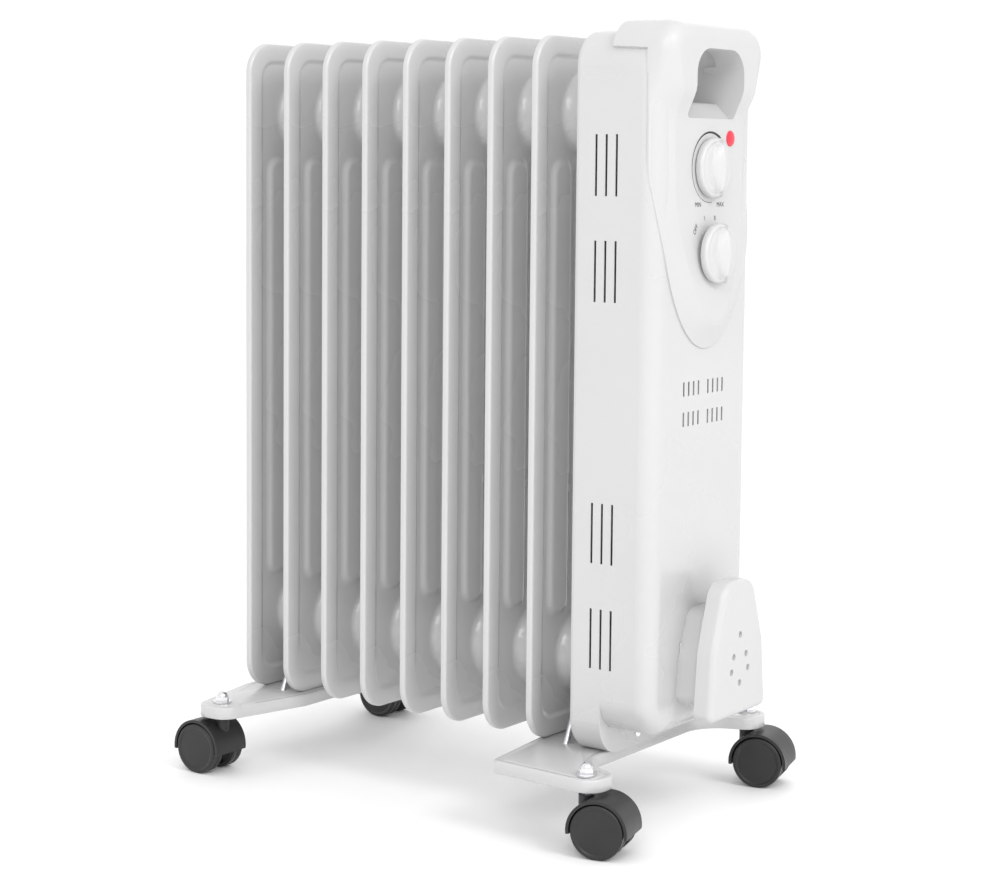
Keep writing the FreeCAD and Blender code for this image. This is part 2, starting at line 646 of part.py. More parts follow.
def panel_form(name, inset, behind):
    """Control panel's outer form, or with an inset the space inside its moulding."""
    profile_body = new_body(name + "_side")
    half = f"({COVER_HALF})"
    side = sketch_on(profile_body, name + "_side_outline", "XZ_Plane")
    top = f"{COVER_TOP} + slab_thickness - {inset}"
    lip = f"{END_FACE} - panel_back + cover_gap - {behind} + {inset}"
    ledge = f"{COVER_TOP} + cover_gap - {behind}"
    shoulder = f"{FIN_FOOT} + panel_shoulder + cover_gap - {behind}"
    outline(side, [
        (f"{END_FACE} - {behind}", f"{FIN_FOOT} + panel_tip + {inset}", None),
        (f"{END_FACE} + panel_chin / 2 - {inset}", f"{FIN_FOOT} + panel_tip + {inset}", None),
        (f"{END_FACE} + panel_chin - {inset}", f"{FIN_FOOT} + panel_tip + panel_nose", None),
        (f"{END_FACE} + panel_waist - {inset}", f"{FIN_FOOT} + waist_low", "fin_corner * 2"),
        (f"{END_FACE} + panel_waist - {inset}", f"{FIN_FOOT} + waist_high", "fin_corner"),
        (f"{END_FACE} + panel_bulge - {inset}", f"{FIN_FOOT} + bulge_low", None),
        (f"{END_FACE} + panel_bulge - {inset}", top, f"cover_edge - {inset}"),
        (f"{END_FACE} - slab_reach + {inset}", top, None),
        (f"{END_FACE} - slab_reach + {inset}", ledge, None),
        (lip, ledge, None),
        (lip, shoulder, None),
        (f"{END_FACE} - {behind}", shoulder, None),
    ])
    pad(profile_body, side, name + "_side_pad", f"2 * {half} + 2", True)
    face_body = new_body(name + "_face")
    face = sketch_on(face_body, name + "_face_outline", "YZ_Plane", f"{END_FACE} - slab_reach - 2")
    brow = f"{COVER_TOP} + slab_thickness - {inset}"
    right = [(f"panel_tip_half - {inset} / 2", f"{FIN_FOOT} + panel_tip + {inset}", f"panel_tip_round - {inset}"),
             (f"{half} - {inset}", f"{FIN_FOOT} + panel_hip", f"panel_flank - {inset}"),
             (f"{half} - {inset}", brow, f"fin_corner - {inset}")]
    left = [(f"-({x})", z, radius) for x, z, radius in reversed(right)]
    outline(face, right + left)
    pad(face_body, face, name + "_face_pad", "slab_reach + panel_chin + panel_bulge")
    return common(name, [profile_body, face_body])


def tunnel_form(name, inset):
    """Handle tunnel: in at the front face and out at the top, behind the grip bar."""
    body = new_body(name + "_mouth")
    back = f"({END_FACE} - handle_depth - {inset})"
    mouth = sketch_on(body, name + "_mouth_outline", "YZ_Plane", back)
    half = f"handle_half + {inset}"
    sill, lintel = f"{FIN_FOOT} + handle_sill - {inset}", f"{FIN_FOOT} + handle_lintel + {inset}"
    outline(mouth, [(f"-({half})", sill, None), (half, sill, None),
                    (half, lintel, "handle_corner"), (f"-({half})", lintel, "handle_corner")])
    pad(body, mouth, name + "_mouth_pad", "handle_depth + panel_chin + panel_bulge + 1")
    chimney = block(name + "_chimney", (back, f"-({half})", f"{FIN_FOOT} + handle_lintel - handle_corner"),
                    (f"{END_FACE} - handle_bar + {inset}", half, f"{COVER_TOP} + slab_thickness + 1"))
    return fused(name, [body, chimney])


def make_panel():
    """Moulded control panel with its pull handle."""
    outside = panel_form("panel_outside", "0", "0")
    inside = panel_form("panel_inside", "panel_wall", "panel_wall * 2")
    shell = cut("panel_shell", outside, [inside])
    limit = panel_form("panel_limit", "0", "handle_depth")
    lining = common("panel_lining", [tunnel_form("tunnel_outside", "panel_wall"), limit])
    whole = fused("panel_lined", [shell, lining])
    holes = [tunnel_form("tunnel", "0")]
    for dial in ("thermostat", "selector"):
        z = f"{FIN_FOOT} + {dial}_z"
        back = f"{END_FACE} - panel_chin"
        holes.append(cylinder(f"{dial}_hole", "neck_radius + bolt_play", "panel_chin * 3", back, 0, z, "X"))
    back, z = f"{END_FACE} - 1", f"{FIN_FOOT} + lens_z"
    holes.append(cylinder("lens_hole", "lens_radius - 1", "panel_chin * 2", back, "lens_y", z, "X"))
    sub_part(cut("panel_finished", whole, holes), "control_panel")


def make_bracket():
    """Steel plate between the cover's sides that carries the two controls."""
    half = f"({COVER_HALF} - cover_wall)"
    plate = block("bracket_plate", (BRACKET_BACK, f"-{half}", f"{FIN_FOOT} + bracket_low"),
                  (f"{BRACKET_BACK} + bracket_sheet", half, f"{FIN_FOOT} + bracket_high"))
    holes = []
    for dial in ("thermostat", "selector"):
        back, z = f"{BRACKET_BACK} - bracket_sheet", f"{FIN_FOOT} + {dial}_z"
        hole = cylinder(f"bracket_{dial}_hole", "neck_radius + bolt_play", "bracket_sheet * 3", back, 0, z, "X")
        holes.append(hole)
    sub_part(cut("bracket_finished", plate, holes), "control_bracket")


def make_dial(dial):
    """One control: its body behind the face, its shaft and its knob."""
    z = f"({FIN_FOOT} + {dial}_z)"
    knob_x = f"({END_FACE} + {dial}_face + dial_gap)"
    front = BRACKET_BACK
    case = block(f"{dial}_case", (f"{front} - control_depth", "-control_size / 2", f"{z} - control_size / 2"),
                 (front, "control_size / 2", f"{z} + control_size / 2"))
    neck = cylinder(f"{dial}_neck", "neck_radius", "neck_length", front, 0, z, "X")
    seat_length = "shaft_grip + neck_length + 1"
    seat = cylinder(f"{dial}_seat", "shaft_radius + shaft_play", seat_length, f"{front} - shaft_grip", 0, z, "X")
    sub_part(cut(f"{dial}_housing", fused(f"{dial}_case_and_neck", [case, neck]), [seat]), f"{dial}_body")
    start = f"{front} - shaft_grip + shaft_play * 2"
    shaft = cylinder(f"{dial}_spindle", "shaft_radius", f"{knob_x} + dial_skirt - ({start})", start, 0, z, "X")
    sub_part(shaft, f"{dial}_shaft")
    knob = new_body(f"{dial}_knob_body")
    disc = sketch_on(knob, f"{dial}_disc_outline", "YZ_Plane")
    circle(disc, 0, 0, "dial_radius")
    pad(knob, disc, f"{dial}_disc", "dial_skirt")
    grip = sketch_on(knob, f"{dial}_grip_outline", "YZ_Plane")
    rounded_box(grip, "grip_width / 2", "-grip_length / 2", "grip_length / 2", "grip_width * 0.45")
    ridge = pad(knob, grip, f"{dial}_grip", "dial_grip")
    DOC.recompute()
    height = reading("dial_grip")
    top = [i for i, edge in enumerate(ridge.Shape.Edges, start=1) if edge.CenterOfMass.x > height - 0.1]
    soft = knob.newObject("PartDesign::Fillet", f"{dial}_soft_edge")
    soft.Base = (ridge, [f"Edge{i}" for i in top])
    bind(soft, Radius="grip_width / 4")
    hole = sketch_on(knob, f"{dial}_bore_outline", "YZ_Plane")
    circle(hole, 0, 0, "shaft_radius")
    bore = knob.newObject("PartDesign::Pocket", f"{dial}_bore")
    bore.Profile = hole
    bore.Reversed = True
    bind(bore, Length="dial_skirt")
    knob.Tip = bore
    sub_part(place(knob, knob_x, 0, z), f"{dial}_knob")


def make_pilot():
    """Pilot lens in the face and the lamp behind it."""
    y, z = "lens_y", f"({FIN_FOOT} + lens_z)"
    face = f"({END_FACE} + panel_waist)"
    flange = cylinder("lens_flange", "lens_radius", "lens_stand", face, y, z, "X")
    neck = cylinder("lens_neck", "lens_radius - 1", "panel_wall + 1", f"{face} - panel_wall - 1", y, z, "X")
    sub_part(fused("lens", [flange, neck]), "pilot_lens")
    lamp = cylinder("lamp", "lamp_radius", "lamp_length", f"{face} - panel_wall - 1 - lamp_length", y, z, "X")
    sub_part(lamp, "pilot_lamp")


def make_inner_pieces():
    """Over-temperature cut-out on the upper header's end and the terminal block."""
    x = f"({LAST_FIN} + boss_width / 2 + cap_thickness)"
    sub_part(cylinder("cutout", "cutout_radius", "dial_skirt", x, 0, HEADERS["upper"], "X"), "thermal_cutout")
    z = f"({FIN_FOOT} + terminal_z)"
    block_x = f"({LAST_FIN} + channel_thickness / 2)"
    far = (f"{block_x} + control_depth", "control_size", f"{z} + control_depth")
    sub_part(block("terminals", (block_x, "-control_size", z), far), "terminal_block")


# ---------------------------------------------------------------- cord wrap

def arch(name, half, low, high, back, front):
    """Prism of an arch that stands on a flat foot, narrow at the crown."""
    body = new_body(name)
    sketch = sketch_on(body, name + "_outline", "YZ_Plane", back)
    flank = f"({low} + ({high} - ({low})) * arch_flank)"
    right = [(f"({half})", low, "wrap_wall * 3"), (f"({half}) * arch_waist", flank, "header_radius"),
             (f"({half}) * arch_crown", high, f"({half}) * arch_round")]
    left = [(f"-{y}", z, radius) for y, z, radius in reversed(right)]
    outline(sketch, right + left)
    pad(body, sketch, name + "_pad", f"{front} - ({back})")
    return body


def make_cord_wrap():
    """Cord wrap: a hollow core on the end face, and an arched cap with plug holes."""
    low, high = f"{FIN_FOOT} + core_low", f"{FIN_FOOT} + core_high"
    front = f"({END_FACE} + wrap_reach)"
    core = arch("wrap_core_outside", "core_half", low, high, END_FACE, f"{front} - wrap_wall")
    core_hollow = arch("wrap_core_inside", "core_half - wrap_wall", f"{low} + wrap_wall", f"{high} - wrap_wall",
                       f"{END_FACE} - 1", f"{front} - wrap_wall * 2")
    sub_part(cut("wrap_core", core, [core_hollow]), "cord_wrap_core")
    low, high = f"{FIN_FOOT} + wrap_low", f"{FIN_FOOT} + wrap_high"
    back = f"{front} - wrap_depth"
    cap = arch("wrap_cap_outside", "wrap_half", low, high, back, front)
    cap_hollow = arch("wrap_cap_inside", "wrap_half - wrap_wall", f"{low} + wrap_wall", f"{high} - wrap_wall",
                      f"{back} - 1", f"{front} - wrap_wall")
    soft = rounded("wrap_cap_soft", cap, "wrap_depth / 3", lambda edge: edge.CenterOfMass.x > reading(front) - 0.1)
    holes = []
    for i, (y, height) in enumerate(PLUG_HOLES):
        start, z = f"{front} - wrap_wall * 3", f"{FIN_FOOT} + {height}"
        holes.append(cylinder(f"plug_hole_{i}", "plug_hole", "wrap_wall * 4", start, y, z, "X"))
    sub_part(cut("wrap_cap_finished", soft, [cap_hollow] + holes), "cord_wrap_cap")


# ---------------------------------------------------------------- feet and fasteners

def foot_solid(name, corners, inset, low, high):
    """Flat prism of a foot's outline."""
    body = new_body(name)
    sketch = sketch_on(body, name + "_outline", "XY_Plane", low)
    outline(sketch, corners(inset))
    pad(body, sketch, name + "_pad", f"{high} - ({low})")
    return body


def rear_corners(inset):
    """Rear foot: a straight bar that narrows to a round end at each stem."""
    x = "(first_fin_x + rear_foot_x)"
    tip = "(first_fin_x + rear_stem_x)"
    reach = f"(stem_y + foot_tip - {inset})"
    near, mid = f"(fin_depth / 2 - rim_band)", f"(foot_half - {inset})"
    half_turn = f"foot_tip - {inset} - 0.5"
    waist = "header_radius"
    right = [(f"{tip} + foot_tip - {inset}", f"-{reach}", half_turn), (f"{x} + {mid}", f"-{near}", waist),
             (f"{x} + {mid}", near, waist), (f"{tip} + foot_tip - {inset}", reach, half_turn)]
    left = [(f"{tip} - foot_tip + {inset}", reach, half_turn), (f"{x} - {mid}", near, waist),
            (f"{x} - {mid}", f"-{near}", waist), (f"{tip} - foot_tip + {inset}", f"-{reach}", half_turn)]
    return right + left


def front_corners(inset):
    """Front foot: a bar with square outer corners, and an ear that carries each stem forward."""
    x = f"({LAST_FIN} + front_foot_x)"
    tip = f"({LAST_FIN} + front_stem_x)"
    outer, wing = f"(stem_y + foot_tip - {inset})", f"(stem_y + foot_tip / 2 - {inset})"
    inner = f"(stem_y - foot_tip + {inset})"
    mid = f"(foot_half - {inset})"
    ear = f"foot_tip - {inset} - 0.5"
    right = [(f"{x} - {mid} + foot_taper", wing, f"foot_tip / 2 - {inset} / 2"),
             (f"{tip} + foot_tip - {inset}", outer, ear),
             (f"{tip} + foot_tip - {inset}", inner, ear),
             (f"{x} + {mid}", f"({inner} - foot_tip)", "header_radius")]
    left = [(across, f"-{along}", radius) for across, along, radius in right]
    middle = [(f"{x} - {mid}", f"{side} * fin_depth / 4", "header_radius") for side in (1, -1)]
    return left + right[::-1] + middle


def make_foot(end, corners, stem_x, bolt_x):
    """One pressed foot with a turned edge, its U-bolt and the holes for both."""
    low, high = "(ground_gap - foot_flange)", "(ground_gap)"
    plate = foot_solid(f"{end}_foot_form", corners, "0", low, high)
    under = foot_solid(f"{end}_foot_under", corners, "foot_sheet", f"({low} - 1)", f"({high} - foot_sheet)")
    leg = "(collar_radius + bolt_grip + bolt_radius)"
    holes = [under]
    for side in (-1, 1):
        holes.append(cylinder(f"{end}_stem_hole", "bolt_radius", "foot_flange", stem_x, f"{side} * stem_y", low))
        play = "bolt_radius + bolt_play"
        holes.append(cylinder(f"{end}_bolt_hole", play, "foot_flange", bolt_x, f"{side} * {leg}", low))
    sub_part(cut(f"{end}_foot_plate", plate, holes), f"{end}_foot")
    tail = "(ground_gap - foot_sheet - bolt_tail)"
    crown = f"({HEADERS['lower']} + {leg})"
    points = [(f"-{leg}", tail, None), (f"-{leg}", crown, f"{leg} - bolt_play"),
              (leg, crown, f"{leg} - bolt_play"), (leg, tail, None)]
    bolt = swept(pipe(f"{end}_bolt_body", "YZ_Plane", points, "bolt_radius"), "0", f"-{leg}", tail)
    sub_part(place(bolt, bolt_x, 0, 0), f"{end}_u_bolt")
    return leg


def make_wing_nuts(places, leg):
    """Wing nuts under the feet, one on each leg of the U-bolts."""
    nuts = []
    for i, x in enumerate(places):
        for side in (-1, 1):
            y = f"({side} * {leg})"
            base = "(ground_gap - foot_sheet - wing_height)"
            barrel = cylinder(f"wing_barrel_{i}", "wing_radius", "wing_height", x, y, base)
            wings = block(f"wing_ears_{i}", (f"{x} - wing_reach", f"{y} - foot_sheet / 2", f"{base} + foot_sheet"),
                          (f"{x} + wing_reach", f"{y} + foot_sheet / 2", f"{base} + wing_height - foot_sheet"))
            bore = cylinder(f"wing_bore_{i}", "bolt_radius", "wing_height", x, y, base)
            nuts.append(cut(f"wing_nut_{i}_{side + 1}", fused(f"wing_solid_{i}", [barrel, wings]), [bore]))
    sub_part(group("wing_nut_set", nuts), "wing_nuts")


def make_stems(stems):
    """Caster stems through the feet and the domed cap nuts above them."""
    rods, nuts = [], []
    for i, (x, y, _) in enumerate(stems):
        foot = "(boss_low + bolt_radius)"
        rod = cylinder(f"stem_rod_{i}", "bolt_radius", f"ground_gap + nut_height - {foot}", x, y, foot)
        seat = "ground_gap - foot_sheet * 2"
        shoulder = cylinder(f"stem_shoulder_{i}", "boss_radius - 0.5", "foot_sheet", x, y, seat)
        rods.append(fused(f"stem_{i}", [rod, shoulder]))
        washer = cylinder(f"nut_washer_{i}", "nut_flange", "nut_collar", x, y, "ground_gap")
        neck = "ground_gap + nut_collar"
        flats = hexagon(f"nut_hexagon_{i}", "nut_flats", "nut_height - nut_collar", x, y, neck)
        dome = DOC.addObject("Part::Sphere", f"nut_dome_{i}")
        dome.Angle1 = 0
        place(bind(dome, Radius="nut_dome"), x, y, "ground_gap + nut_height")
        thread = cylinder(f"nut_thread_{i}", "bolt_radius", "nut_height", x, y, "ground_gap")
        nuts.append(cut(f"cap_nut_{i}", fused(f"nut_solid_{i}", [washer, flats, dome]), [thread]))
    sub_part(group("stem_set", rods), "caster_stems")
    sub_part(group("cap_nut_set", nuts), "cap_nuts")


# ---------------------------------------------------------------- casters

def turned(thing, heading, x, y):
    """Set a caster piece under its stem, trailing towards its heading."""
    thing.Placement.Rotation = FreeCAD.Rotation(FreeCAD.Vector(0, 0, 1), 0)
    bind(thing, Placement__Rotation__Angle=heading)
    return place(thing, x, y, 0)


def hood_shape(tag):
    """Hood over both wheels, with a web between them that holds the axle and the stem's boss."""
    z, x = "wheel_radius", "trail"
    full = cylinder(f"{tag}_hood_drum", HOOD_RADIUS, "2 * hood_half", x, "-hood_half", z, "Y")
    pockets = []
    for side, start in (("left", "-hood_half - 1"), ("right", "web_half")):
        depth = "hood_half + 1 - web_half"
        pockets.append(cylinder(f"{tag}_hood_{side}", "wheel_radius + hood_gap", depth, x, start, z, "Y"))
    open_foot = block(f"{tag}_hood_foot", (f"{x} - {HOOD_RADIUS} - 1", "-hood_half - 1", "-hood_wall * 3"),
                      (f"{x} + {HOOD_RADIUS} + 1", "hood_half + 1", "wheel_radius - hood_drop"))
    shell = cut(f"{tag}_hood_shell", full, pockets + [open_foot])
    boss = cylinder(f"{tag}_hood_boss", "boss_radius", "boss_top - boss_low", 0, 0, "boss_low")
    hub = cylinder(f"{tag}_hood_hub", "wheel_hub", "2 * web_half", x, "-web_half", z, "Y")
    socket = "boss_low + bolt_radius - axle_play"
    bores = [cylinder(f"{tag}_stem_bore", "bolt_radius + axle_play", "boss_top", 0, 0, socket),
             cylinder(f"{tag}_axle_bore", "axle_radius", "4 * web_half", x, "-2 * web_half", z, "Y")]
    return cut(f"{tag}_hood_body", fused(f"{tag}_hood_solid", [shell, boss, hub]), bores)


def wheel_shape(tag, side):
    """One dished wheel with a closed outer face, revolved about the axle."""
    body = new_body(f"{tag}_wheel_body_{side}")
    sketch = sketch_on(body, f"{tag}_wheel_outline_{side}", "XY_Plane")
    low, high = "wheel_inner", "wheel_outer"
    sign = {"a": 1, "b": -1}[side]
    bore = "axle_radius + axle_play"
    points = [(bore, low, None), ("wheel_hub", low, None), ("wheel_hub", f"{high} - wheel_rim", None),
              ("wheel_radius - wheel_rim", f"{high} - wheel_rim", None), ("wheel_radius - wheel_rim", low, None),
              ("wheel_radius", low, "wheel_edge / 2"), ("wheel_radius", high, "wheel_edge"),
              (bore, high, None)]
    outline(sketch, [(x, f"{sign} * ({y})", radius) for x, y, radius in points])
    wheel = body.newObject("PartDesign::Revolution", f"{tag}_wheel_turn_{side}")
    wheel.Profile = sketch
    wheel.ReferenceAxis = (sketch, ["V_Axis"])
    wheel.Angle = 360
    return body


def make_caster(tag, x, y, heading):
    """One swivel caster: hood, axle and two wheels."""
    sub_part(turned(hood_shape(tag), heading, x, y), f"{tag}_caster_hood")
    pin = cylinder(f"{tag}_axle_pin", "axle_radius", "2 * axle_half", "trail", "-axle_half", "wheel_radius", "Y")
    sub_part(turned(group(f"{tag}_axle_group", [pin]), heading, x, y), f"{tag}_caster_axle")
    for side in ("a", "b"):
        wheel = place(wheel_shape(tag, side), "trail", 0, "wheel_radius")
        sub_part(turned(group(f"{tag}_wheel_group_{side}", [wheel]), heading, x, y), f"{tag}_wheel_{side}")


# ---------------------------------------------------------------- assembly and export

def build():
    """Build every sub-part."""
    fill_sheet()
    make_fins()
    make_headers()
    make_element()
    make_cover()
    make_gland()
    make_panel()
    make_bracket()
    make_dial("thermostat")
    make_dial("selector")
    make_pilot()
    make_inner_pieces()
    make_cord_wrap()
    rear_x, front_x = "(first_fin_x + rear_stem_x)", f"({LAST_FIN} + front_stem_x)"
    rear_bolt, front_bolt = "(first_fin_x + fin_pitch / 2)", f"({LAST_FIN} - fin_pitch / 2)"
    leg = make_foot("rear", rear_corners, rear_x, rear_bolt)
    make_foot("front", front_corners, front_x, front_bolt)
    make_wing_nuts((rear_bolt, front_bolt), leg)
    stems = {
        "rear_left": (rear_x, "(-stem_y)", "rear_heading"),
        "rear_right": (rear_x, "(stem_y)", "rear_heading"),
        "front_left": (front_x, "(-stem_y)", "front_heading"),
        "front_right": (front_x, "(stem_y)", "front_heading"),
    }
    make_stems(stems.values())
    for tag, (x, y, heading) in stems.items():
        make_caster(tag, x, y, heading)


def check():
    """Refuse to write a document with a failed object or an invalid solid."""
    DOC.recompute()
    failed = [thing.Name for thing in DOC.Objects if set(thing.State) & {"Invalid", "Error"}]
    if failed:
        raise RuntimeError(f"failed objects: {failed}")
    for thing in PARTS:
        shape = thing.Shape
        if shape.isNull() or not shape.isValid() or not shape.Solids:
            raise RuntimeError(f"bad shape: {thing.Label}")


def export():
    """Write one STEP file per sub-part."""
    os.makedirs("parts", exist_ok=True)
    for thing in PARTS:
        thing.Shape.exportStep(os.path.join("parts", thing.Label + ".step"))
        box = thing.Shape.BoundBox
        print(f"{thing.Label:24s} solids {len(thing.Shape.Solids):2d} volume {thing.Shape.Volume / 1000:8.2f} cm3",
              f"x {box.XMin:7.1f} {box.XMax:7.1f} y {box.YMin:7.1f} {box.YMax:7.1f}",
              f"z {box.ZMin:6.1f} {box.ZMax:6.1f}")


build()
check()
export()
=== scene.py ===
import json
import logging
import math
from dataclasses import dataclass
from enum import Enum
from typing import Callable, Sequence

import bmesh
import bpy
import numpy as np
from mathutils import Matrix, Vector


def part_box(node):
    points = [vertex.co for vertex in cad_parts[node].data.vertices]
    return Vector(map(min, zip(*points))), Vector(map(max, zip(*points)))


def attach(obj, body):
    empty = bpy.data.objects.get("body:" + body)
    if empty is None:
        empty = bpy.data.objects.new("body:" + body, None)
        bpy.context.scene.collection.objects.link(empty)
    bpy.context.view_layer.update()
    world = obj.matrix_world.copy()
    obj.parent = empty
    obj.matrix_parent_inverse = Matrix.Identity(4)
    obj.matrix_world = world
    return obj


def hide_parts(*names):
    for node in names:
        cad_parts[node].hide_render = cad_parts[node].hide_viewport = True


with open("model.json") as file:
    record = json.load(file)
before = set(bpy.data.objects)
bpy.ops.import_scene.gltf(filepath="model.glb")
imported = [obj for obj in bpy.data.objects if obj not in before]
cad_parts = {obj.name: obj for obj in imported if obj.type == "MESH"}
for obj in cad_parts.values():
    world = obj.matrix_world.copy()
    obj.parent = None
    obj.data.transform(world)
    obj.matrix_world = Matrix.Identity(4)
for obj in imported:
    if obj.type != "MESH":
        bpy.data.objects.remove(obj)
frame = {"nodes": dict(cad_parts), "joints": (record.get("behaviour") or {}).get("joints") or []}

# Looks of an oil filled radiator: nine pressed fins, a covered control end, two feet and four casters.
# Sizes below are in millimetres unless they say otherwise; places come from the frame, in metres.

LOG = logging.getLogger("radiator")
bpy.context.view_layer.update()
MM = 0.001
FIN_COUNT = 9
BODY = "heater"
CASTERS = ("rear_left", "rear_right", "front_left", "front_right")

Point2 = tuple[float, float]


# ---------------------------------------------------------------- shader effects

class Effect(Enum):
    """Effects that several finishes share, each built once as a node group."""

    GRAIN = "surface_grain"
    MOTTLE = "soft_mottle"
    DUST = "settled_dust"


def new_group(effect: Effect, inputs: dict[str, float], outputs: Sequence[str]) -> bpy.types.NodeTree:
    """Make an empty shader node group.

    Args:
        effect: which effect the group holds.
        inputs: name and default of each number that goes in.
        outputs: names of the numbers that come out.

    Returns:
        The group, with its input and output nodes named "in" and "out".
    """
    tree = bpy.data.node_groups.new(effect.value, "ShaderNodeTree")
    for name, default in inputs.items():
        socket = tree.interface.new_socket(name=name, in_out="INPUT", socket_type="NodeSocketFloat")
        socket.default_value = default
    for name in outputs:
        tree.interface.new_socket(name=name, in_out="OUTPUT", socket_type="NodeSocketFloat")
    tree.nodes.new("NodeGroupInput").name = "in"
    tree.nodes.new("NodeGroupOutput").name = "out"
    return tree


def noise(tree: bpy.types.NodeTree, detail: float) -> bpy.types.Node:
    """Noise texture read in object space, with its scale left to be linked."""
    place = tree.nodes.new("ShaderNodeTexCoord")
    texture = tree.nodes.new("ShaderNodeTexNoise")
    texture.inputs["Detail"].default_value = detail
    tree.links.new(place.outputs["Object"], texture.inputs["Vector"])
    return texture


def grain_group() -> bpy.types.NodeTree:
    """Fine relief: two sizes of noise, stretched upright by a given amount."""
    tree = new_group(Effect.GRAIN, {"Scale": 800.0, "Stretch": 1.0, "Coarse": 0.35}, ["Height"])
    enter, leave = tree.nodes["in"], tree.nodes["out"]
    place = tree.nodes.new("ShaderNodeTexCoord")
    squeeze = tree.nodes.new("ShaderNodeCombineXYZ")
    squeeze.inputs["X"].default_value = 1.0
    squeeze.inputs["Y"].default_value = 1.0
    scaled = tree.nodes.new("ShaderNodeVectorMath")
    scaled.operation = "MULTIPLY"
    fine = tree.nodes.new("ShaderNodeTexNoise")
    coarse = tree.nodes.new("ShaderNodeTexNoise")
    share = tree.nodes.new("ShaderNodeMath")
    share.operation = "MULTIPLY"
    blend = tree.nodes.new("ShaderNodeMix")
    links = tree.links
    links.new(enter.outputs["Stretch"], squeeze.inputs["Z"])
    links.new(place.outputs["Object"], scaled.inputs[0])
    links.new(squeeze.outputs["Vector"], scaled.inputs[1])
    links.new(scaled.outputs["Vector"], fine.inputs["Vector"])
    links.new(scaled.outputs["Vector"], coarse.inputs["Vector"])
    links.new(enter.outputs["Scale"], fine.inputs["Scale"])
    links.new(enter.outputs["Scale"], share.inputs[0])
    share.inputs[1].default_value = 0.22
    links.new(share.outputs["Value"], coarse.inputs["Scale"])
    links.new(enter.outputs["Coarse"], blend.inputs["Factor"])
    links.new(fine.outputs["Fac"], blend.inputs["A"])
    links.new(coarse.outputs["Fac"], blend.inputs["B"])
    links.new(blend.outputs["Result"], leave.inputs["Height"])
    return tree


def mottle_group() -> bpy.types.NodeTree:
    """Slow unevenness of colour and gloss over a hand's breadth."""
    tree = new_group(Effect.MOTTLE, {"Scale": 9.0}, ["Mask"])
    texture = noise(tree, 3.0)
    spread = tree.nodes.new("ShaderNodeMapRange")
    spread.inputs["From Min"].default_value = 0.35
    spread.inputs["From Max"].default_value = 0.65
    tree.links.new(tree.nodes["in"].outputs["Scale"], texture.inputs["Scale"])
    tree.links.new(texture.outputs["Fac"], spread.inputs["Value"])
    tree.links.new(spread.outputs["Result"], tree.nodes["out"].inputs["Mask"])
    return tree


def dust_group() -> bpy.types.NodeTree:
    """Thin dust on faces that look up, broken up by noise."""
    tree = new_group(Effect.DUST, {"Amount": 0.2, "Scale": 60.0}, ["Mask"])
    enter, leave = tree.nodes["in"], tree.nodes["out"]
    facing = tree.nodes.new("ShaderNodeNewGeometry")
    split = tree.nodes.new("ShaderNodeSeparateXYZ")
    level = tree.nodes.new("ShaderNodeMapRange")
    level.inputs["From Min"].default_value = 0.55
    level.inputs["From Max"].default_value = 1.0
    texture = noise(tree, 5.0)
    speckle = tree.nodes.new("ShaderNodeMath")
    speckle.operation = "MULTIPLY"
    amount = tree.nodes.new("ShaderNodeMath")
    amount.operation = "MULTIPLY"
    links = tree.links
    links.new(facing.outputs["Normal"], split.inputs["Vector"])
    links.new(split.outputs["Z"], level.inputs["Value"])
    links.new(enter.outputs["Scale"], texture.inputs["Scale"])
    links.new(level.outputs["Result"], speckle.inputs[0])
    links.new(texture.outputs["Fac"], speckle.inputs[1])
    links.new(speckle.outputs["Value"], amount.inputs[0])
    links.new(enter.outputs["Amount"], amount.inputs[1])
    links.new(amount.outputs["Value"], leave.inputs["Mask"])
    return tree


GROUPS = {Effect.GRAIN: grain_group(), Effect.MOTTLE: mottle_group(), Effect.DUST: dust_group()}


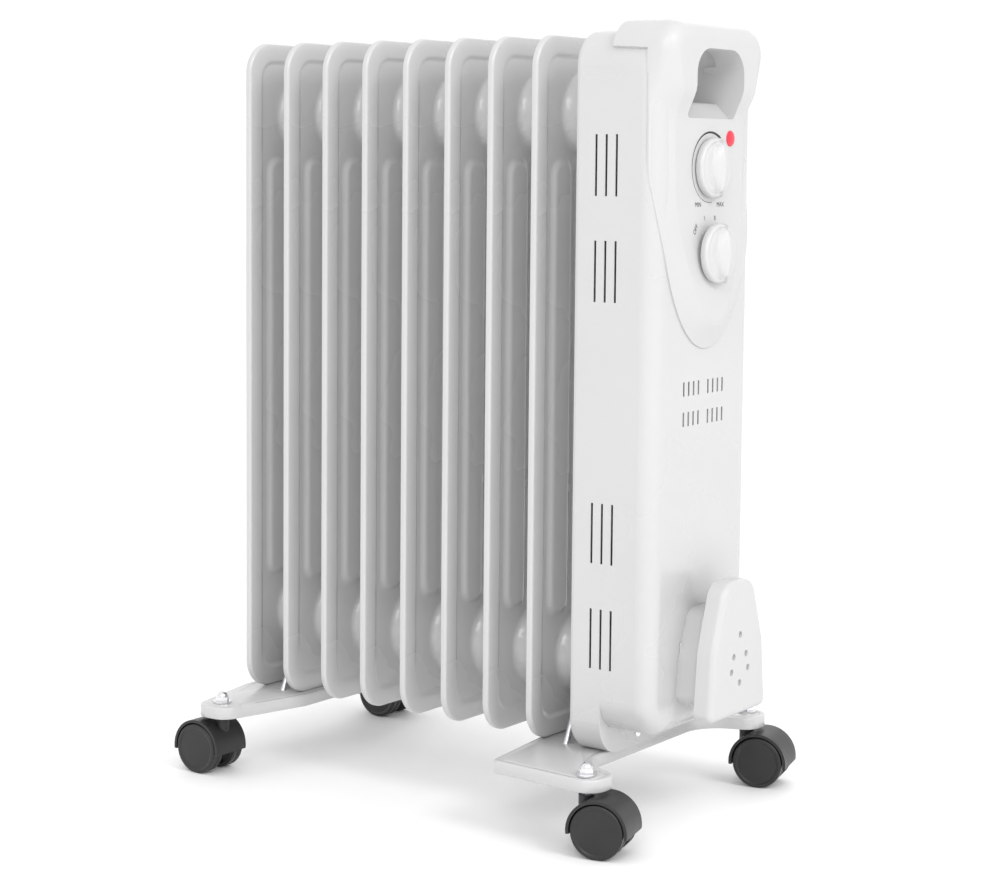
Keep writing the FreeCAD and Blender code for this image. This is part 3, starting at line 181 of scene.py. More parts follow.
@dataclass(frozen=True)
class Finish:
    """One surface finish: its colour, how it varies, its gloss and its fine relief."""

    name: str
    slot: str
    colour: tuple[float, float, float]
    shade: tuple[float, float, float]
    roughness: float
    roughness_spread: float = 0.06
    metallic: float = 0.0
    coat: float = 0.0
    coat_roughness: float = 0.1
    specular: float = 0.5
    grain_scale: float = 900.0
    grain_stretch: float = 1.0
    grain_height: float = 0.02
    grain_strength: float = 0.3
    mottle_scale: float = 9.0
    dust: float = 0.0
    dust_colour: tuple[float, float, float] = (0.55, 0.53, 0.50)

    def use(self, tree: bpy.types.NodeTree, effect: Effect, **numbers: float) -> bpy.types.Node:
        """Place an effect's group in this material with its own numbers."""
        node = tree.nodes.new("ShaderNodeGroup")
        node.node_tree = GROUPS[effect]
        for name, value in numbers.items():
            node.inputs[name].default_value = value
        return node

    def mix(self, tree: bpy.types.NodeTree, mask: bpy.types.NodeSocket,
            low: Sequence[float] | bpy.types.NodeSocket, high: Sequence[float]) -> bpy.types.NodeSocket:
        """Mix two colours by a mask.

        Args:
            tree: the material's nodes.
            mask: socket that runs from 0 to 1.
            low: colour, or a socket with one, where the mask is 0.
            high: colour where the mask is 1.

        Returns:
            The mixed colour's socket.
        """
        node = tree.nodes.new("ShaderNodeMix")
        node.data_type = "RGBA"
        tree.links.new(mask, node.inputs["Factor"])
        if isinstance(low, bpy.types.NodeSocket):
            tree.links.new(low, node.inputs[6])
        else:
            node.inputs[6].default_value = (*low, 1.0)
        node.inputs[7].default_value = (*high, 1.0)
        return node.outputs[2]

    def material(self) -> bpy.types.Material:
        """Build the material once and return it."""
        made = bpy.data.materials.get(self.name)
        if made:
            return made
        made = bpy.data.materials.new(self.name)
        made.use_nodes = True
        tree = made.node_tree
        shader = tree.nodes["Principled BSDF"]
        shader.inputs["Metallic"].default_value = self.metallic
        shader.inputs["Coat Weight"].default_value = self.coat
        shader.inputs["Coat Roughness"].default_value = self.coat_roughness
        shader.inputs["Specular IOR Level"].default_value = self.specular
        mottle = self.use(tree, Effect.MOTTLE, Scale=self.mottle_scale)
        colour = self.mix(tree, mottle.outputs["Mask"], self.colour, self.shade)
        if self.dust:
            dust = self.use(tree, Effect.DUST, Amount=self.dust)
            colour = self.mix(tree, dust.outputs["Mask"], colour, self.dust_colour)
        tree.links.new(colour, shader.inputs["Base Color"])
        gloss = tree.nodes.new("ShaderNodeMapRange")
        gloss.inputs["To Min"].default_value = self.roughness
        gloss.inputs["To Max"].default_value = self.roughness + self.roughness_spread
        tree.links.new(mottle.outputs["Mask"], gloss.inputs["Value"])
        tree.links.new(gloss.outputs["Result"], shader.inputs["Roughness"])
        grain = self.use(tree, Effect.GRAIN, Scale=self.grain_scale, Stretch=self.grain_stretch)
        bump = tree.nodes.new("ShaderNodeBump")
        bump.inputs["Strength"].default_value = self.grain_strength
        bump.inputs["Distance"].default_value = self.grain_height * MM
        tree.links.new(grain.outputs["Height"], bump.inputs["Height"])
        tree.links.new(bump.outputs["Normal"], shader.inputs["Normal"])
        return made


ENAMEL = Finish("white_powder_coat", "white_enamel", (0.56, 0.56, 0.56), (0.545, 0.545, 0.547), 0.24,
                coat=0.35, coat_roughness=0.12, grain_scale=420.0, grain_height=0.05, grain_strength=0.35,
                dust=0.05)
MOULDING = Finish("white_moulding", "white_plastic", (0.56, 0.56, 0.56), (0.55, 0.55, 0.55), 0.36,
                  grain_scale=1500.0, grain_height=0.03, grain_strength=0.4, dust=0.04)
KNOB = Finish("knob_moulding", "white_plastic", (0.58, 0.58, 0.58), (0.57, 0.57, 0.57), 0.28,
              grain_scale=1800.0, grain_height=0.02, grain_strength=0.3)
BLACK = Finish("black_caster_nylon", "black_plastic", (0.012, 0.012, 0.013), (0.018, 0.018, 0.019), 0.36,
               roughness_spread=0.12, grain_scale=1300.0, grain_height=0.04, grain_strength=0.5,
               mottle_scale=35.0, dust=0.10, dust_colour=(0.10, 0.10, 0.10))
CHROME = Finish("chrome", "chrome", (0.82, 0.82, 0.84), (0.74, 0.74, 0.76), 0.07, roughness_spread=0.06,
                metallic=1.0, grain_scale=700.0, grain_height=0.01, mottle_scale=120.0)
ZINC = Finish("bright_zinc", "zinc", (0.70, 0.71, 0.73), (0.60, 0.61, 0.64), 0.24, roughness_spread=0.14,
              metallic=1.0, grain_scale=900.0, grain_height=0.02, mottle_scale=90.0)
STEEL = Finish("plain_steel", "steel", (0.50, 0.50, 0.51), (0.42, 0.42, 0.43), 0.34, roughness_spread=0.14,
               metallic=1.0, grain_scale=900.0, grain_stretch=0.08, grain_height=0.03, mottle_scale=60.0)
LENS = Finish("red_lens", "red_lens", (0.62, 0.008, 0.035), (0.50, 0.004, 0.028), 0.12, coat=0.6,
              coat_roughness=0.05, grain_scale=300.0, grain_height=0.05, mottle_scale=150.0)
# black_seal is the gasket and gland rubber, and also colours the sheet of painted shade inside the cord wrap
# cap.
SEAL = Finish("black_seal", "seal", (0.03, 0.03, 0.03), (0.045, 0.045, 0.045), 0.6, grain_scale=1100.0,
              grain_height=0.06, mottle_scale=60.0)
INNER = Finish("inner_moulding", "inner_plastic", (0.62, 0.60, 0.54), (0.56, 0.54, 0.48), 0.45,
               grain_scale=1300.0, grain_height=0.03, mottle_scale=40.0)
INK = Finish("dial_print", "white_plastic", (0.010, 0.010, 0.011), (0.020, 0.020, 0.022), 0.45,
             grain_scale=2500.0, grain_height=0.004, mottle_scale=200.0)

CAD_FINISHES = {
    ENAMEL: ("side_cover", "upper_header_collars", "lower_header_collars", "header_caps"),
    MOULDING: ("cord_wrap_core", "cord_wrap_cap"),
    CHROME: ("cap_nuts", "cover_screws"),
    ZINC: ("wing_nuts", "caster_stems", "control_bracket", "filler_plug"),
    STEEL: ("element_flange", "heating_rods", "thermostat_shaft", "selector_shaft", "thermal_cutout"),
    SEAL: ("element_gasket", "cord_gland"),
    INNER: ("thermostat_body", "selector_body", "terminal_block", "pilot_lamp"),
    BLACK: tuple(f"{caster}_caster_hood" for caster in CASTERS),
}


# ---------------------------------------------------------------- mesh helpers

def smoothstep(values: np.ndarray | float, low: float, high: float) -> np.ndarray:
    """Soft ramp from 0 at low to 1 at high."""
    share = np.clip((np.asarray(values, float) - low) / (high - low), 0.0, 1.0)
    return share * share * (3.0 - 2.0 * share)


def new_piece(name: str, points: np.ndarray, faces: Sequence[Sequence[int]], finish: Finish,
              merge: float = 0.0) -> bpy.types.Object:
    """Make a smooth shaded mesh object.

    Args:
        name: the piece's name.
        points: corner points in metres.
        faces: index lists.
        finish: its surface finish.
        merge: points nearer than this, in metres, become one.

    Returns:
        The new object, linked to the scene.
    """
    mesh = bpy.data.meshes.new(name)
    mesh.from_pydata([tuple(p) for p in points], [], [tuple(f) for f in faces])
    work = bmesh.new()
    work.from_mesh(mesh)
    if merge:
        bmesh.ops.remove_doubles(work, verts=work.verts, dist=merge)
    bmesh.ops.dissolve_degenerate(work, edges=work.edges, dist=1e-7)
    bmesh.ops.recalc_face_normals(work, faces=work.faces)
    work.to_mesh(mesh)
    work.free()
    mesh.shade_smooth()
    mesh.materials.append(finish.material())
    return link(name, mesh)


def link(name: str, data: bpy.types.ID) -> bpy.types.Object:
    """Put a new object with this data in the scene."""
    thing = bpy.data.objects.new(name, data)
    bpy.context.scene.collection.objects.link(thing)
    return thing


def mesh_of(curve: bpy.types.Curve, finish: Finish) -> bpy.types.Mesh:
    """Turn a curve into a mesh with one finish."""
    line = link(curve.name, curve)
    bpy.context.view_layer.update()
    mesh = bpy.data.meshes.new_from_object(line.evaluated_get(bpy.context.evaluated_depsgraph_get()))
    bpy.data.objects.remove(line)
    mesh.materials.clear()
    mesh.materials.append(finish.material())
    return mesh


def keep(piece: bpy.types.Object, body: str, finish: Finish, *nodes: str) -> bpy.types.Object:
    """Hang a piece on a body and say which nodes it stands for."""
    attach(piece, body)
    if nodes:
        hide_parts(*nodes)
    LOG.info("piece %s on %s: %d faces", piece.name, body, len(piece.data.polygons))
    return piece


def ring_faces(rings: int, count: int, offset: int = 0, closed: bool = True) -> list[tuple[int, ...]]:
    """Quads between rings of points that follow each other.

    Args:
        rings: how many rings.
        count: points in each.
        offset: index of the first point.
        closed: whether each ring's last point joins its first.

    Returns:
        Index lists of the quads.
    """
    faces = []
    for ring in range(rings - 1):
        start = offset + ring * count
        for i in range(count if closed else count - 1):
            after = (i + 1) % count
            faces.append((start + i, start + after, start + count + after, start + count + i))
    return faces


def soften(piece: bpy.types.Object, width: float, angle: float = 40.0, segments: int = 3) -> None:
    """Round a piece's sharp edges.

    Args:
        piece: the object.
        width: width of the rounding in millimetres.
        angle: edges sharper than this many degrees are rounded.
        segments: facets across the rounding.
    """
    bevel = piece.modifiers.new("soft_edges", "BEVEL")
    bevel.width = width * MM
    bevel.segments = segments
    bevel.limit_method = "ANGLE"
    bevel.angle_limit = math.radians(angle)
    bevel.harden_normals = False


def carve(piece: bpy.types.Object, cutter: bpy.types.Object) -> None:
    """Cut a closed piece with another one and throw the cutter away."""
    modifier = piece.modifiers.new("carve", "BOOLEAN")
    modifier.operation = "DIFFERENCE"
    modifier.solver = "EXACT"
    modifier.object = cutter
    bpy.context.view_layer.update()
    shown = piece.evaluated_get(bpy.context.evaluated_depsgraph_get())
    mesh = bpy.data.meshes.new_from_object(shown)
    piece.modifiers.remove(modifier)
    old = piece.data
    piece.data = mesh
    bpy.data.meshes.remove(old)
    bpy.data.objects.remove(cutter)


def rounded_outline(corners: Sequence[tuple[float, float, float]], steps: int = 10) -> np.ndarray:
    """Closed outline with rounded corners.

    Args:
        corners: (u, v, radius) of each corner, in order.
        steps: points along each rounded corner.

    Returns:
        Points along the outline.
    """
    marks = [np.array(c[:2], float) for c in corners]
    points: list[np.ndarray] = []
    for i, (_, _, radius) in enumerate(corners):
        corner, before, after = marks[i], marks[i - 1], marks[(i + 1) % len(marks)]
        into = (corner - before) / np.linalg.norm(corner - before)
        out = (after - corner) / np.linalg.norm(after - corner)
        turn = math.atan2(into[0] * out[1] - into[1] * out[0], float(into @ out))
        if radius <= 0.0 or abs(turn) < 1e-3:
            points.append(corner)
            continue
        start = corner - into * radius * math.tan(abs(turn) / 2)
        side = math.copysign(1.0, turn)
        centre = start + side * radius * np.array([-into[1], into[0]])
        first = math.atan2(*(start - centre)[::-1])
        for share in np.linspace(0.0, 1.0, steps):
            angle = first + turn * share
            points.append(centre + radius * np.array([math.cos(angle), math.sin(angle)]))
    return np.array(points)


def spaced(points: np.ndarray, pitch: float) -> np.ndarray:
    """Split the long legs of a closed outline so that none is longer than pitch."""
    result: list[np.ndarray] = []
    for here, there in zip(points, np.roll(points, -1, axis=0)):
        legs = max(1, math.ceil(float(np.linalg.norm(there - here)) / pitch))
        result.extend(here + (there - here) * k / legs for k in range(legs))
    return np.array(result)


def inset(points: np.ndarray, depth: float) -> np.ndarray:
    """Move a closed, anticlockwise outline inwards along its own normals."""
    ahead, behind = np.roll(points, -1, axis=0), np.roll(points, 1, axis=0)
    along = ahead - behind
    along /= np.maximum(np.linalg.norm(along, axis=1, keepdims=True), 1e-9)
    return points + depth * np.column_stack([-along[:, 1], along[:, 0]])


def turned_piece(name: str, profile: Sequence[Point2], centre: Vector, axis: Vector, finish: Finish,
                 steps: int = 72) -> bpy.types.Object:
    """Turn a profile about an axis, as on a lathe.

    Args:
        name: the piece's name.
        profile: (radius, distance along the axis) in millimetres; a radius of 0 closes the end.
        centre: the axis's origin, in metres.
        axis: direction of the axis.
        finish: surface finish.
        steps: points round the axis.

    Returns:
        The new object.
    """
    along = axis.normalized()
    side = along.orthogonal().normalized()
    up = along.cross(side)
    points = []
    for radius, reach in profile:
        for k in range(steps):
            angle = 2 * math.pi * k / steps
            spoke = side * math.cos(angle) + up * math.sin(angle)
            points.append(centre + (along * reach + spoke * radius) * MM)
    return new_piece(name, np.array(points), ring_faces(len(profile), steps), finish, merge=1e-6)


# ---------------------------------------------------------------- fins

@dataclass
class Fins:
    """Nine alike fins: a smooth flat rim round a thin web with pressed channels and header bosses."""

    corner: float = 26.0
    corner_gain: float = 0.72
    nose: float = 1.9
    band: float = 16.0
    middle: float = -4.0
    rim_half: float = 3.0
    web_half: float = 1.2
    channel_half: float = 14.25
    channel_pitch: float = 34.5
    channel_inset: float = 98.0
    channel_corner: float = 12.0
    channel_rise: float = 2.6
    channel_slope: float = 4.2
    boss_radius: float = 35.0
    boss_reach: float = 15.0
    boss_slope: float = 8.0
    boss_inset: float = 62.0
    fine: float = 2.2
    coarse: float = 12.0

    def rim_profile(self) -> list[Point2]:
        """Rim's section: how far in from the outline, and how far from the rim's middle plane."""
        flat = self.rim_half - self.nose
        points = [(0.0, 0.0)]
        for angle in np.linspace(0.0, math.pi / 2, 7):
            points.append((self.nose * (1 - math.cos(angle)), flat + self.nose * math.sin(angle)))
        points += [(5.0, self.rim_half + 0.15), (self.band - 3.4, self.rim_half + 0.1)]
        points += [(self.band - 2.0, self.rim_half), (self.band - 1.1, self.rim_half - 0.25)]
        points += [(self.band - 0.4, self.rim_half - 0.75), (self.band + 0.4, self.web_half + 0.6)]
        points += [(self.band + 1.4, self.web_half + 0.1), (self.band + 3.0, self.web_half - 0.15)]
        return points

    def rim(self, half: float, height: float) -> tuple[np.ndarray, list[tuple[int, ...]]]:
        """Points and faces of the whole rim, in the fin's own frame."""
        sections = self.rim_profile()
        sections = [(d, -x) for d, x in reversed(sections[1:])] + sections
        points = []
        for depth, x in sections:
            near = half - depth
            radius = self.corner - self.corner_gain * depth
            ring = rounded_outline([(-near, depth, radius), (near, depth, radius),
                                    (near, height - depth, radius), (-near, height - depth, radius)], 14)
            points += [(self.middle + x, y, z) for y, z in ring]
        return np.array(points), ring_faces(len(sections), len(points) // len(sections))

    def relief(self, y: np.ndarray, z: np.ndarray, height: float, side: int) -> np.ndarray:
        """Surface of the pressed web at places on it.

        Args:
            y: across the fin.
            z: above the fin's foot.
            height: height of the fin.
            side: 1 for the face towards the control end, -1 for the other.

        Returns:
            Place of the surface along X, from the fin's own middle.
        """
        middle = height / 2
        reach = middle - self.channel_inset - self.channel_corner
        rise = np.zeros_like(y)
        for step in (-1, 0, 1):
            across = np.abs(y - step * self.channel_pitch) - (self.channel_half - self.channel_corner)
            along = np.abs(z - middle) - reach
            outside = np.hypot(np.maximum(across, 0), np.maximum(along, 0))
            away = outside + np.minimum(np.maximum(across, along), 0)
            share = np.clip((self.channel_corner - away) / self.channel_slope, 0, 1)
            rise = np.maximum(rise, self.channel_rise * np.sin(share * math.pi / 2))
        surface = self.middle + side * (self.web_half + rise)
        for level in (self.boss_inset, height - self.boss_inset):
            share = smoothstep(self.boss_radius - np.hypot(y, z - level), 0.0, self.boss_slope)
            surface = surface + (side * self.boss_reach - surface) * share
        return surface

    def web(self, half: float, height: float, offset: int) -> tuple[np.ndarray, list[tuple[int, ...]]]:
        """Points and faces of both sides of the web, tucked under the rim."""
        edge = self.band + 0.6
        across = np.linspace(-(half - edge), half - edge, round(2 * (half - edge) / self.fine))
        ends = self.channel_inset + 2 * self.channel_corner
        low = np.arange(edge, ends, self.fine)
        middle = np.arange(ends, height - ends, self.coarse)
        levels = np.concatenate([low, middle, height - low[::-1]])
        y, z = np.meshgrid(across, levels)
        points = [np.column_stack([self.relief(y, z, height, side).ravel(), y.ravel(), z.ravel()])
                  for side in (-1, 1)]
        faces = ring_faces(len(levels), len(across), offset, False)
        faces += ring_faces(len(levels), len(across), offset + y.size, False)
        return np.vstack(points), faces

    def build(self) -> None:
        """Make the nine fins, which share one mesh."""
        low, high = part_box("fin_1")
        half, height = (high.y - low.y) / 2 / MM, (high.z - low.z) / MM
        rim_points, rim_faces = self.rim(half, height)
        web_points, web_faces = self.web(half, height, len(rim_points))
        points = np.vstack([rim_points, web_points]) * MM
        first = new_piece("pressed_fin_1", points, rim_faces + web_faces, ENAMEL)
        for i in range(1, FIN_COUNT + 1):
            piece = first
            if i > 1:
                piece = link(f"pressed_fin_{i}", first.data)
            near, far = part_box(f"fin_{i}")
            piece.location = ((near.x + far.x) / 2, 0.0, near.z)
            keep(piece, BODY, ENAMEL, f"fin_{i}")


# ---------------------------------------------------------------- control end

@dataclass
class ControlPanel:
    """Moulded panel: a long drop shape on the end face, with the pull handle across its top."""

    flank_centre: float = 475.0
    corner: float = 26.0
    cover_edge: float = 14.0
    skin: float = 1.3
    slope_low: float = 21.0
    slope_high: float = 15.0
    waist: float = 2.5
    chin: float = 11.0
    bulge: float = 11.5
    mouth_half: float = 36.0
    mouth_low: float = 495.0
    mouth_high: float = 548.0
    mouth_corner: float = 20.0
    mouth_depth: float = 37.0
    bar: float = 13.0
    shoulder: float = 528.0
    lip: float = 1.6
    heart_low: float = 385.0
    heart_high: float = 515.0

    def __post_init__(self) -> None:
        """Read the places of the end face, the fins' foot and the panel from the frame."""
        cover_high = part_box("side_cover")[1]
        low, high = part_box("control_panel")
        self.face_x = cover_high.x / MM
        self.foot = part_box("fin_9")[0].z / MM
        self.half = high.y / MM
        self.tip = low.z / MM
        self.top = high.z / MM
        self.cover_top = cover_high.z / MM
        self.slab_back = low.x / MM

    def outline(self) -> np.ndarray:
        """Panel's outline seen from the end, anticlockwise from the tip."""
        middle = self.flank_centre + self.foot
        right = [(self.half * math.sin(a), middle - (middle - self.tip) * math.cos(a))
                 for a in np.linspace(0.0, math.pi / 2, 56)]
        right += [(self.half, z) for z in np.arange(middle + 5, self.foot + self.shoulder - 1, 6.0)]
        right += [(self.half, self.foot + self.shoulder - 0.4), (self.half, self.foot + self.shoulder + 0.4)]
        brow = self.top - self.corner
        right += [(self.half, (self.foot + self.shoulder + brow) / 2)]
        right += [(self.half - self.corner * (1 - math.cos(a)), brow + self.corner * math.sin(a))
                  for a in np.linspace(0.0, math.pi / 2, 22)]
        right += [(y, self.top) for y in np.linspace(self.half - self.corner, 0.0, 12)[1:-1]]
        left = [(-y, z) for y, z in reversed(right[1:])]
        return np.array(right + [(0.0, self.top)] + left)

    def face_level(self, z: np.ndarray) -> np.ndarray:
        """Raised face's distance in front of the end face at a height above the fins' foot."""
        low = self.tip - self.foot
        knots = (low, low + 18, 425.0, 492.0, 520.0, 600.0)
        levels = (self.chin * 0.85, self.chin, self.waist, self.waist, self.bulge, self.bulge)
        result = np.full_like(z, levels[-1])
        for k in range(len(knots) - 1):
            inside = (z >= knots[k]) & (z < knots[k + 1])
            share = (z - knots[k]) / (knots[k + 1] - knots[k])
            soft = share if k == 1 else share * share * (3 - 2 * share)
            result = np.where(inside, levels[k] + (levels[k + 1] - levels[k]) * soft, result)
        return result

    def edge_level(self, y: np.ndarray, z: np.ndarray) -> np.ndarray:
        """Edge's distance in front of the end face: it lies on the cover's rounded corner."""
        past = np.clip(np.abs(y) - (self.half - self.cover_edge), 0.0, self.cover_edge - 0.2)
        drop = self.cover_edge - np.sqrt(self.cover_edge ** 2 - past ** 2)
        side = self.skin - np.minimum(drop, 9.0)
        above = smoothstep(z, self.shoulder + 6, self.top - self.foot)
        return side * (1 - above) + (self.bulge - self.cover_edge) * above

    def body(self) -> bpy.types.Object:
        """Closed body of the panel before the handle opening is cut."""
        edge = self.outline()
        heart = np.column_stack([np.zeros(len(edge)), np.clip(edge[:, 1], self.foot + self.heart_low,
                                                               self.foot + self.heart_high)])
        z = edge[:, 1] - self.foot
        start = self.edge_level(edge[:, 0], z)
        high = smoothstep(z, self.shoulder - 30, self.shoulder + 20)
        slope = self.slope_low + (self.slope_high - self.slope_low) * high
        within = np.abs(edge[:, 0]) < self.half - 0.5
        on_top = (edge[:, 1] > self.cover_top + 0.3) | within & (z > self.shoulder)
        beside = (z > self.shoulder) & ~on_top
        back = np.where(on_top, self.slab_back - self.face_x, np.where(beside, -10.0, -9.0))
        rings = [np.column_stack([self.face_x + back, edge])]
        inward = inset(edge, 1.0) - edge
        for share in np.linspace(0.0, 1.0, 13):
            place = edge + inward * (slope * share)[:, None]
            face = self.face_level(place[:, 1] - self.foot)
            rounded = np.sqrt(np.maximum(1 - (1 - share) ** 2, 0))
            mixed = share * (1 - high) + rounded * high
            rings.append(np.column_stack([self.face_x + start + (face - start) * mixed, place]))
        rim = rings[-1][:, 1:]
        for share in (0.02, 0.06, 0.14, 0.24, 0.34, 0.44, 0.54, 0.64, 0.74, 0.84, 0.93, 1.0):
            place = rim + (heart - rim) * share
            rings.append(np.column_stack([self.face_x + self.face_level(place[:, 1] - self.foot), place]))
        inner = np.column_stack([np.full(len(edge), self.face_x - 9.0), heart])
        rings.insert(0, inner)
        points = np.vstack(rings) * MM
        return new_piece("moulded_panel", points, ring_faces(len(rings), len(edge)), MOULDING, merge=2e-6)

    def mouth(self) -> bpy.types.Object:
        """Cutter for the opening in the front: flat sill, rounded upper corners."""
        low, high = self.foot + self.mouth_low, self.foot + self.mouth_high
        ring = rounded_outline([(-self.mouth_half, low, 4.0), (self.mouth_half, low, 4.0),
                                (self.mouth_half, high, self.mouth_corner),
                                (-self.mouth_half, high, self.mouth_corner)], 12)
        return self.prism("mouth_cutter", ring, self.face_x - self.mouth_depth, self.face_x + 40)

    def prism(self, name: str, ring: np.ndarray, back: float, front: float) -> bpy.types.Object:
        """Closed prism along X of an outline in Y and Z."""
        count = len(ring)
        points = np.vstack([np.column_stack([np.full(count, x), ring]) for x in (back, front)]) * MM
        faces = ring_faces(2, count) + [tuple(range(count)), tuple(range(2 * count - 1, count - 1, -1))]
        return new_piece(name, points, faces, MOULDING)

    def chimney(self) -> bpy.types.Object:
        """Cutter for the opening in the top, behind the grip bar."""
        low, high = self.foot + self.mouth_high - 12, self.top + 10
        ring = rounded_outline([(-self.mouth_half, low, 0), (self.mouth_half, low, 0),
                                (self.mouth_half, high, 0), (-self.mouth_half, high, 0)])
        return self.prism("chimney_cutter", ring, self.face_x - self.mouth_depth, self.face_x - self.bar)

    def liner(self) -> bpy.types.Object:
        """Inside of the handle opening: a sloping sill, the floor, the back and the two sides."""
        front, back = self.face_x - 0.6, self.face_x - self.mouth_depth
        low = self.foot + self.mouth_low
        side = [(front, low + 0.2), (front - 4, low + 3.2), (front - 10, low + 9.2), (front - 13, low + 12.0),
                (front - 14.6, low + 12.4), (front - 15.6, low + 11.4), (front - 16.4, low + 4.0),
                (back + 6, low + 2.5), (back + 2.0, low + 3.6), (back, low + 7.0), (back, self.top - 0.8)]
        half = self.mouth_half + 0.15
        points, faces = [], []
        for y in np.linspace(-half, half, 9):
            points += [(x, y, z) for x, z in side]
        faces += ring_faces(9, len(side), 0, False)
        for y in (-half, half):
            first = len(points)
            points += [(front, y, low - 0.5), (back - 1, y, low - 0.5), (back - 1, y, self.top - 0.8),
                       (front, y, self.top - 12)]
            faces.append((first, first + 1, first + 2, first + 3))
        return new_piece("handle_recess", np.array(points) * MM, faces, MOULDING)

    def build(self) -> None:
        """Make the panel and its handle opening."""
        body = self.body()
        carve(body, self.mouth())
        carve(body, self.chimney())
        soften(body, self.lip, 50.0)
        body.data.shade_smooth()
        weighted = body.modifiers.new("even_shading", "WEIGHTED_NORMAL")
        weighted.keep_sharp = False
        keep(body, BODY, MOULDING, "control_panel")
        keep(self.liner(), BODY, MOULDING)


@dataclass
class Knob:
    """Round knob with a lens shaped grip whose crest points at the marks."""

    dial: str
    radius: float = 23.0
    skirt: float = 6.2
    height: float = 13.8
    edge: float = 2.4
    grip_half: float = 9.4
    grip_reach: float = 20.6

    def relief(self, y: np.ndarray, z: np.ndarray) -> np.ndarray:
        """Height of the knob's face over its back."""
        away = np.hypot(y, z)
        past = np.clip(away - (self.radius - self.edge), 0.0, self.edge)
        skirt = self.skirt - self.edge + np.sqrt(np.maximum(self.edge ** 2 - past ** 2, 0.0))
        inside = away < self.radius - self.edge
        skirt = skirt - 0.5 * smoothstep(away, self.radius - 6.5, self.radius - 4.5) * inside
        half = self.grip_half * np.clip(1 - (z / self.grip_reach) ** 2, 0.0, 1.0) + 1e-6
        share = np.clip(1 - np.abs(y) / half, 0.0, 1.0)
        crest = (self.height - self.skirt) * (1 - 0.35 * (z / self.grip_reach) ** 2)
        return skirt + crest * np.sqrt(np.clip(share * (2 - share), 0, 1)) * (0.55 + 0.45 * share)

    def build(self) -> None:
        """Make the knob on its dial's body."""
        low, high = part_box(f"{self.dial}_knob")
        centre = Vector((low.x, (low.y + high.y) / 2, (low.z + high.z) / 2))
        radii = np.concatenate([np.linspace(0.0, self.radius - self.edge, 30),
                                self.radius - self.edge * (1 - np.sin(np.linspace(0.2, math.pi / 2, 7)))])
        steps = 120
        rings = [np.zeros((steps, 3))]
        angles = np.linspace(0, 2 * math.pi, steps, endpoint=False)
        for radius in radii:
            y, z = radius * np.cos(angles), radius * np.sin(angles)
            rings.append(np.column_stack([self.relief(y, z), y, z]))
        crown = self.relief(np.zeros(1), np.zeros(1))[0]
        rings[0] = np.column_stack([np.full(steps, crown), np.zeros((steps, 2))])
        for radius, x in ((self.radius, 0.6), (self.radius - 0.6, 0.0), (0.0, 0.0)):
            rings.append(np.column_stack([np.full(steps, x), radius * np.cos(angles),
                                          radius * np.sin(angles)]))
        points = np.vstack(rings) * MM + np.array(centre)
        piece = new_piece(f"{self.dial}_grip_knob", points, ring_faces(len(rings), steps), KNOB, merge=1e-6)
        keep(piece, f"{self.dial}_dial", KNOB, f"{self.dial}_knob")


